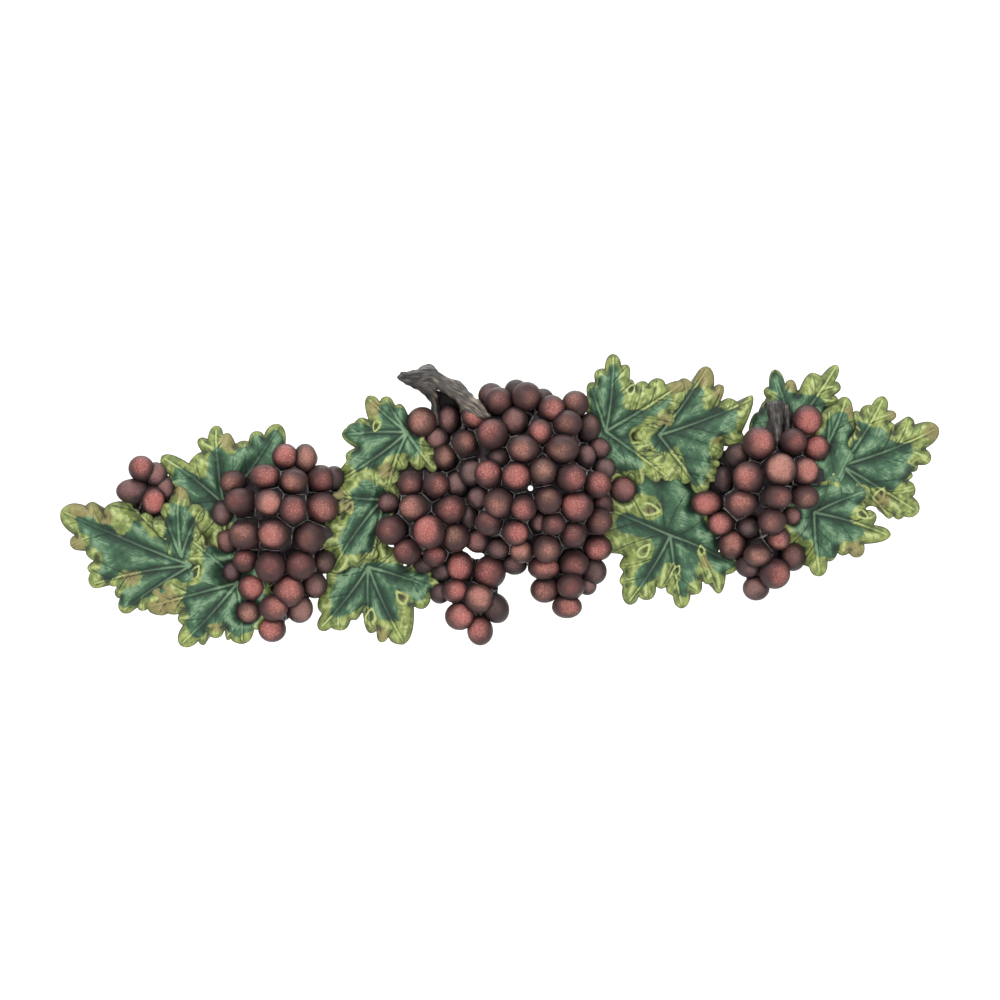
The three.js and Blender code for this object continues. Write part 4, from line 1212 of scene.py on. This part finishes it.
def model_bunch(bunch, sizes):
    """The grapes of one bunch, each a copy of the first turned and sized its own way."""
    grapes = grapes_of(bunch, sizes)
    random = np.random.default_rng(len(grapes))
    first = first_grape()
    copies = []
    for number, (x, depth, z, wide, high, tilt, _) in enumerate(grapes):
        mesh = first.data.copy()
        # Each grape points its own way, with its stalk's end turned from the front.
        turn = Matrix.Rotation(random.uniform(0, TAU), 4, "Y")
        turn = turn @ Matrix.Rotation(random.uniform(0.6, 2.2), 4, "X")
        size = Matrix.Diagonal((wide * MM, (wide + high) / 2 * MM, high * MM, 1))
        lean = Matrix.Rotation(-math.radians(tilt), 4, "Y")
        mesh.transform(Matrix.Translation(Vector((x, -depth, z)) * MM) @ lean @ size @ turn)
        attribute = mesh.attributes.new("number", "FLOAT", "POINT")
        attribute.data.foreach_set("value", np.full(len(mesh.vertices), number, np.float32))
        copy = bpy.data.objects.new(f"grape_{number}", mesh)
        bpy.context.scene.collection.objects.link(copy)
        copies.append(copy)
    bpy.data.objects.remove(first)
    deselect()
    for copy in copies:
        copy.select_set(True)
    bpy.context.view_layer.objects.active = copies[0]
    bpy.ops.object.join()
    piece = bpy.context.object
    piece.name = piece.data.name = f"grapes_{bunch['name']}"
    paint_and_shade_grapes(piece, grapes)
    return piece


def paint_and_shade_grapes(piece, grapes):
    """Keeps each grape's tone, its rosy crown with painted highlight and its dark wash with painted
    shade.
    """
    x, y, z = places(piece)
    values = np.empty(len(x), np.float32)
    piece.data.attributes["number"].data.foreach_get("value", values)
    number = np.round(values).astype(int)
    centre_x, depth, centre_z, wide, high, _, layer = grapes[number].T
    random = np.random.default_rng(7)
    out = np.stack([(x - centre_x) / wide, (y + depth) * 2 / (wide + high), (z - centre_z) / high])
    out += 0.05 * np.stack([ripple(x, z, 5, seed) for seed in (1, 2, 3)])
    # Dry-brushed rose and painted highlight: strongest where a grape faces the front, tipped its
    # own way for each grape and mostly upwards.
    many = len(grapes)
    brush = np.stack([
        random.uniform(-0.3, 0.3, many), -np.ones(many), random.uniform(-0.2, 0.35, many),
    ])
    brush = (brush / np.linalg.norm(brush, axis=0))[:, number]
    crown = np.clip((brush * out).sum(axis=0) / np.linalg.norm(out, axis=0), 0, 1)
    wash = np.zeros_like(x)
    # Dark wash and painted shade: each grape darkens where it touches another.
    for order, (other_x, other_depth, other_z, other_wide, other_high, *_) in enumerate(grapes):
        apart = np.sqrt((x - other_x) ** 2 + (y + other_depth) ** 2 + (z - other_z) ** 2)
        gap = np.maximum(apart - (other_wide + other_high) / 2, 0)
        gap[number == order] = FAR
        wash = np.maximum(wash, bell(gap, 1.0))  # pooled where two grapes touch
    # Painted shade: the dark wash also covers the back half of each grape.
    wash = np.maximum(wash, 1 - ease(-y - depth, -0.6 * wide, -0.05 * wide))
    store(piece, "crown", crown)
    store(piece, "wash", wash)
    # Painted shade: how much darker each grape of the rear layer is painted.
    store(piece, "layer", layer * random.uniform(0.6, 1, many)[number])
    store(piece, "tone", random.uniform(0, 1, many)[number])
    store(piece, "brown", (random.uniform(0, 1, many) ** 2)[number])


def grape_paint(paints):
    """Dark red-brown acrylic on resin, dry-brushed rose with painted highlight on the crowns,
    painted shade towards the edges, between the grapes and over the rear layer, and flecked all
    over.

    The flecks, where the brush skipped the rough casting, are what makes it look hand painted."""
    material, tree = new_material("dry_brushed_acrylic_on_resin_grape")
    tone, brown = read(tree, "tone"), read(tree, "brown")
    patches = speckle(tree, 6, detail=3)
    flecks = speckle(tree, 0.9, detail=4, roughness=0.7)
    specks = speckle(tree, 1.7, detail=4, roughness=0.7)
    grit = speckle(tree, 0.7, detail=2)

    # Painted highlight and dry-brushed rose from the crown, varied by patches, flecks and each
    # grape's tone.
    brushed = swing(tree, swing(tree, read(tree, "crown"), patches, 0.3), flecks, 0.35)
    brushed = swing(tree, brushed, tone, 0.42)
    skin = mixed(tree, reckon(tree, "MULTIPLY", brown, 0.8), paints.skin, paints.umber)
    # Painted shade: the paint darkens towards each grape's edge.
    colour = mixed(tree, ramp(tree, brushed, 0.45, 0.98), paints.shade, skin)
    crown = mixed(tree, reckon(tree, "MULTIPLY", brown, 0.55), paints.crown, paints.fleck)
    colour = mixed(tree, ramp(tree, brushed, 0.78, 1.2, 0, 0.95), colour, crown)
    # Pale flecks, gathered on the painted highlight of the crown.
    flecks_in_highlight = ramp(tree, brushed, 0.66, 1.1, 0, 0.75)
    flecks_in_highlight = reckon(tree, "MULTIPLY", ramp(tree, flecks, 0.46, 0.66), flecks_in_highlight)
    colour = mixed(tree, flecks_in_highlight, colour, paints.fleck)
    # Painted shade: the rear grapes darken, with grey dust and painted highlight left on their
    # crowns.
    rear = mixed(tree, ramp(tree, brushed, 0.62, 1.15), paints.crevice_wash_and_shade, paints.rear)
    colour = mixed(tree, reckon(tree, "MULTIPLY", read(tree, "layer"), 0.8), colour, rear)
    # Random dark specks in the paint.
    colour = mixed(tree, ramp(tree, specks, 0.55, 0.68, 0, 0.6), colour, paints.shade)
    # Dark wash and painted shade where grapes touch and on their back halves.
    colour = mixed(tree, ramp(tree, read(tree, "wash"), 0.2, 0.95, 0, 0.85), colour, paints.crevice_wash_and_shade)
    surface(tree, colour, ramp(tree, patches, 0.3, 0.7, 0.4, 0.55), grit, 0.1, SATIN)
    return material


# ---- Webs ----


def gaps_to(grapes, x, z):
    """The distances from a place to the edges of the two nearest grapes, and the first's depth."""
    gaps, body = np.empty((2, len(x))), np.empty(len(x))
    at_x, depth, at_z, wide, high, *_ = grapes.T
    for start in range(0, len(x), BATCH):
        part = slice(start, start + BATCH)
        apart = np.hypot(x[part, None] - at_x, z[part, None] - at_z) - (wide + high) / 2
        gaps[:, part] = np.partition(apart, 1, axis=1)[:, :2].T
        body[part] = depth[apart.argmin(axis=1)]
    return *np.sort(gaps, axis=0), body


def opened(found, bunch, x, z):
    """How far places lie inside a form, once a bunch's holes are cut out of it."""
    for at_x, at_z, hole in bunch["holes"]:
        found = np.minimum(found, np.hypot(x - at_x, z - at_z) - hole)
    return found


def web_inside(bunch, grapes, x, z):
    """How far a place lies inside a bunch's body, which the grapes hide all but between them."""
    first, _, _ = gaps_to(grapes, x, z)
    found = np.maximum(-1.2 - first, line_inside(np.array(bunch["body"], float), x, z))
    return opened(found, bunch, x, z)


def model_web(bunch, sizes):
    """The body behind a bunch, with a thin ridge half way between each two grapes."""
    grapes = grapes_of(bunch, sizes)
    sheet = cut_sheet(
        f"web_{bunch['name']}", grapes.min(axis=0)[[0, 2]] - 10, grapes.max(axis=0)[[0, 2]] + 10,
        sizes.web_cell / MM, lambda x, z: web_inside(bunch, grapes, x, z),
    )
    x, _, z = places(sheet)
    first, second, body = gaps_to(grapes, x, z)
    # A ridge stands where two grapes are equally near, in narrow gaps, and breaks off in places.
    ridge = bell(second - first, 1.1) * bell(first, 5) * ease(ripple(x, z, 9, 4), -1.3, 0)
    body = smoothed(sheet, body, 30) - sizes.web_depth / MM
    surface_depth = body + sizes.web_ridge / MM * ridge + 0.25 * ripple(x, z, 3, 5)
    move_points(sheet, x, -np.maximum(surface_depth, LEAST_DEPTH), z)
    store(sheet, "ridge", ridge)
    thicken(sheet, 2)
    return sheet


def web_paint(paints):
    """The nearly black wash pooled between the grapes, with painted shade in the gaps, and grey
    wear with a painted highlight on the thin ridges.

    It gives the eye deep gaps, from which each grape stands out round."""
    material, tree = new_material("pooled_dark_wash_and_painted_shade_on_resin")
    # Grey wear and painted highlight on the ridges, over the dark wash and painted shade of the
    # body.
    ridge_wear_and_highlight = swing(tree, read(tree, "ridge"), speckle(tree, 2.5), 0.8)
    colour = mixed(tree, ramp(tree, ridge_wear_and_highlight, 0.45, 0.9), paints.crevice_wash_and_shade, paints.web)
    surface(tree, colour, 0.5, speckle(tree, 0.6), 0.1, SATIN)
    return material


# ---- Stem ----


def model_stem(stem, sizes):
    """A stem cut to its silhouette, rounded along its axes and furrowed along its fibres."""
    line = np.array(stem["outline"], float)
    axes = [[(x, z, number) for number, (x, _, z, _) in enumerate(axis)] for axis in stem["axes"]]
    sheet = cut_sheet(
        f"stem_{stem['name']}", line.min(axis=0) - 1, line.max(axis=0) + 1, sizes.cell / MM,
        lambda x, z: line_inside(line, x, z) + 0.35 * ripple(x, z, 3, 2),
    )
    x, _, z = places(sheet)
    edge = np.maximum(line_inside(line, x, z), 0)
    depths, fibres, runs = [], [], []
    for stations, axis in zip(stem["axes"], axes):
        apart, share, side, along, _ = nearest(x, z, [axis])
        ranks = np.arange(len(stations))
        middle = np.interp(share, ranks, [station[1] for station in stations])
        radius = np.interp(share, ranks, [station[3] for station in stations])
        depths.append(middle + radius * np.sqrt(np.maximum(1 - (apart / (1.15 * radius)) ** 2, 0)))
        depths[-1] -= 30 * np.maximum(apart / radius - 1.15, 0)
        fibres.append(side)
        runs.append(along)
    front = np.argmax(depths, axis=0)
    pick = np.arange(len(x))
    body = smoothed(sheet, np.max(depths, axis=0), 8)
    fibre, run = np.array(fibres)[front, pick], np.array(runs)[front, pick]
    # Furrows are long and thin along the fibres, which wander a little.
    wander = fibre + 0.7 * np.sin(run / 6) + 0.5 * ripple(x, z, 8, 9)
    furrow = 0.5 * ripple(0.15 * run, wander, 1.1, 11) + 0.35 * ripple(0.2 * run, wander, 0.6, 12)
    furrow += 0.35 * ripple(x, z, 3, 6)  # small knots
    depth = body + sizes.bark_depth / MM * furrow - 2.5 * (1 - ease(edge, 0, 2.5))
    move_points(sheet, x, -np.maximum(depth, 4), z)
    store(sheet, "furrow", 0.5 + 0.4 * furrow)
    store(sheet, "edge", edge)
    store(sheet, "along", run)
    store(sheet, "around", wander)
    wall_in(sheet, [
        lambda x, y, z: (x, y + 2, z),
        lambda x, y, z: (x, 0 * y - 2, z),
    ])
    return sheet


def bark_paint(paints):
    """Matt grey-brown paint on cast bark, with dark wash and painted shade in the furrows and along
    the edges, and tan with painted highlight on the crests.

    It gives the eye dry old wood, with no shine to show that it is resin."""
    material, tree = new_material("dry_brushed_matt_paint_on_resin_bark")
    fibres = add(tree, "ShaderNodeCombineXYZ", {
        "X": reckon(tree, "MULTIPLY", read(tree, "along"), 0.16),
        "Y": read(tree, "around"),
    }).outputs[0]
    grain = speckle(tree, 1.1, fibres, 3, 0.6)
    clouds = speckle(tree, 9)
    height = swing(tree, swing(tree, read(tree, "furrow"), grain, 1.8), clouds, 0.9)
    height = swing(tree, height, ramp(tree, read(tree, "along"), 15, 50, 0.2, 0.8), 0.6)
    # Dark wash and painted shade in the furrows; tan and painted highlight on the crests.
    colour = mixed(tree, ramp(tree, height, 0.1, 0.6), paints.bark_wash_and_shade, paints.bark)
    colour = mixed(tree, ramp(tree, height, 0.6, 1.2), colour, paints.bark_tan_and_highlight)
    # Painted shade along the stem's edges, where it rounds away.
    colour = mixed(tree, ramp(tree, read(tree, "edge"), 0, 1.2, 0.7, 0), colour, paints.bark_wash_and_shade)
    surface(tree, colour, 0.62, grain, 0.35)
    return material


# ---- Back ----


def foot_inside(blades, foot, bunches, x, z):
    """How far a place lies inside the casting's outline on the wall."""
    found = np.full_like(x, -FAR)
    for blade in blades:
        at_x, at_z = blade.heart
        near_x, near_z = at_x + (x - at_x) / foot, at_z + (z - at_z) / foot
        low, high = blade.line.min(axis=0) - 5, blade.line.max(axis=0) + 5
        close = (near_x > low[0]) & (near_x < high[0]) & (near_z > low[1]) & (near_z < high[1])
        if close.any():
            here = foot * blade.inside(near_x[close], near_z[close])
            found[close] = np.maximum(found[close], here)
    for bunch, grapes in bunches:
        found = np.maximum(found, web_inside(bunch, grapes, x, z))
    for bunch, _ in bunches:
        found = opened(found, bunch, x, z)
    return found


def model_back(leaf_sizes, grape_sizes, sizes):
    """The flat body along the wall, as poured: level, with a slight swell and rounded edges."""
    blades = [Blade(leaf, leaf_sizes.roundness) for leaf in LEAVES]
    bunches = [(bunch, grapes_of(bunch, grape_sizes)) for bunch in BUNCHES]
    low, high = [v / MM for v in cad_low], [v / MM for v in cad_high]
    back = cut_sheet(
        "back", (low[0], low[2]), (high[0], high[2]), sizes.cell / MM,
        lambda x, z: foot_inside(blades, leaf_sizes.foot_scale, bunches, x, z),
    )
    x, _, z = places(back)
    edge = smoothed(back, np.where(border(back), 0.0, 1.0), 6)
    move_points(back, x, -0.15 - 0.1 * ripple(x, z, 30, 3) - 0.8 * (1 - edge), z)
    thicken(back, sizes.thickness / MM)
    return back


def resin_paint(paints):
    """Bare filled polyester resin: matt, with faint cloudy mixing marks and small air pits."""
    material, tree = new_material("bare_poured_polyester_resin")
    clouds = speckle(tree, 30, detail=4, roughness=0.6)
    pits = speckle(tree, 1.6, detail=1)
    darker = [0.75 * value for value in paints.resin]
    colour = mixed(tree, ramp(tree, clouds, 0.3, 0.7), paints.resin, darker)
    colour = mixed(tree, ramp(tree, pits, 0.72, 0.78, 0, 0.5), colour, darker)
    surface(tree, colour, ramp(tree, clouds, 0.3, 0.7, 0.6, 0.75), pits, 0.15)
    return material


# ---- Operators ----


class SWAG_OT_leaves(bpy.types.Operator):
    """Models and paints the vine leaves"""

    bl_idname = "swag.leaves"
    bl_label = "Leaves"

    def execute(self, context):
        sizes = context.scene.swag_leaves
        paint = leaf_paint(sizes)
        grapes = np.concatenate([grapes_of(bunch, context.scene.swag_grapes) for bunch in BUNCHES])
        for leaf in LEAVES:
            finish_piece(model_leaf(leaf, sizes, grapes), paint)
        return {"FINISHED"}


class SWAG_OT_grapes(bpy.types.Operator):
    """Models and paints the bunches of grapes"""

    bl_idname = "swag.grapes"
    bl_label = "Grapes"

    def execute(self, context):
        sizes = context.scene.swag_grapes
        paint = grape_paint(sizes)
        for bunch in BUNCHES:
            finish_piece(model_bunch(bunch, sizes), paint)
        return {"FINISHED"}


class SWAG_OT_webs(bpy.types.Operator):
    """Models and paints the body and the thin webs between the grapes"""

    bl_idname = "swag.webs"
    bl_label = "Webs"

    def execute(self, context):
        sizes = context.scene.swag_grapes
        paint = web_paint(sizes)
        for bunch in BUNCHES:
            finish_piece(model_web(bunch, sizes), paint)
        return {"FINISHED"}


class SWAG_OT_stem(bpy.types.Operator):
    """Models and paints the woody stem and its side shoots"""

    bl_idname = "swag.stem"
    bl_label = "Stem"

    def execute(self, context):
        sizes = context.scene.swag_stem
        paint = bark_paint(sizes)
        for stem in STEMS:
            finish_piece(model_stem(stem, sizes), paint)
        return {"FINISHED"}


class SWAG_OT_back(bpy.types.Operator):
    """Models the flat back"""

    bl_idname = "swag.back"
    bl_label = "Back"

    def execute(self, context):
        scene = context.scene
        back = model_back(scene.swag_leaves, scene.swag_grapes, scene.swag_back)
        finish_piece(back, resin_paint(scene.swag_back))
        return {"FINISHED"}


class SWAG_OT_stage(bpy.types.Operator):
    """Sets up the pale studio, its soft lights and the camera"""

    bl_idname = "swag.stage"
    bl_label = "Stage"

    def execute(self, context):
        sizes = context.scene.swag_stage
        scene = context.scene
        scene.view_settings.view_transform = "Standard"
        # Matt paper has no shine, so nothing but the casting draws the eye.
        paper, tree = new_material("matt_paper")
        surface(tree, sizes.pale, 0.9, speckle(tree, 2), 0.01, 0.2)
        room = 12  # width of the paper sheets, in metres
        deselect()
        bpy.ops.mesh.primitive_plane_add(size=room, location=(0, 0, -sizes.floor))
        floor = context.object
        bpy.ops.mesh.primitive_plane_add(
            size=room, location=(0, sizes.backdrop, room / 2 - sizes.floor),
            rotation=(TAU / 4, 0, 0),
        )
        backdrop = context.object
        for name, sheet in (("floor", floor), ("backdrop", backdrop)):
            sheet.name = name
            sheet.data.materials.append(paper)

        world = bpy.data.worlds.new("studio")
        world.use_nodes = True
        sky = world.node_tree.nodes["Background"].inputs
        sky["Color"].default_value = (1, 1, 1, 1)
        sky["Strength"].default_value = 1.0
        scene.world = world
        lights = [
            ("key", (-0.7, -1.5, 1.6), 1.2, 16),
            ("fill", (1.3, -1.6, 0.5), 1.4, 5),
            ("backdrop_light", (0, 0.9, 2.2), 2.5, 60),
        ]
        for name, place, size, watts in lights:
            aim = Vector((0, sizes.backdrop, 0)) if name == "backdrop_light" else Vector((0, 0, 0))
            bpy.ops.object.light_add(type="AREA", location=place)
            light = context.object
            light.name = name
            light.data.size = size
            light.data.energy = watts
            light.rotation_euler = (aim - Vector(place)).to_track_quat("-Z", "Y").to_euler()

        bpy.ops.object.camera_add()
        camera = context.object
        camera.data.lens = sizes.lens
        rims = 0.35 * cad_low[1]
        camera.location = (0, rims - sizes.view_width * sizes.lens / camera.data.sensor_width, 0)
        camera.rotation_euler = (TAU / 4, 0, 0)
        scene.camera = camera
        return {"FINISHED"}


class SWAG_PT_panel(bpy.types.Panel):
    """Lists the steps and their sizes and paints"""

    bl_label = "Wall swag"
    bl_idname = "SWAG_PT_panel"
    bl_space_type = "VIEW_3D"
    bl_region_type = "UI"
    bl_category = "Swag"

    def draw(self, context):
        for name, (group, operators) in STEPS.items():
            box = self.layout.box()
            for operator in operators:
                box.operator(operator.bl_idname)
            for setting in group.__annotations__:
                box.prop(getattr(context.scene, name), setting)


STEPS = {
    "swag_stage": (SwagStageSettings, [SWAG_OT_stage]),
    "swag_back": (SwagBackSettings, [SWAG_OT_back]),
    "swag_leaves": (SwagLeafSettings, [SWAG_OT_leaves]),
    "swag_grapes": (SwagGrapeSettings, [SWAG_OT_webs, SWAG_OT_grapes]),
    "swag_stem": (SwagStemSettings, [SWAG_OT_stem]),
}


def register():
    """Adds the settings, the operators and the panel."""
    for name, (group, operators) in STEPS.items():
        bpy.utils.register_class(group)
        setattr(bpy.types.Scene, name, PointerProperty(type=group))
        for operator in operators:
            bpy.utils.register_class(operator)
    bpy.utils.register_class(SWAG_PT_panel)


def unregister():
    """Takes them all away again."""
    bpy.utils.unregister_class(SWAG_PT_panel)
    for name, (group, operators) in reversed(STEPS.items()):
        for operator in operators:
            bpy.utils.unregister_class(operator)
        delattr(bpy.types.Scene, name)
        bpy.utils.unregister_class(group)


def main():
    """Builds the swag and its stage."""
    register()
    bpy.ops.swag.stage()
    bpy.ops.swag.back()
    bpy.ops.swag.leaves()
    bpy.ops.swag.webs()
    bpy.ops.swag.grapes()
    bpy.ops.swag.stem()
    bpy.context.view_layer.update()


if __name__ == "__main__":
    main()
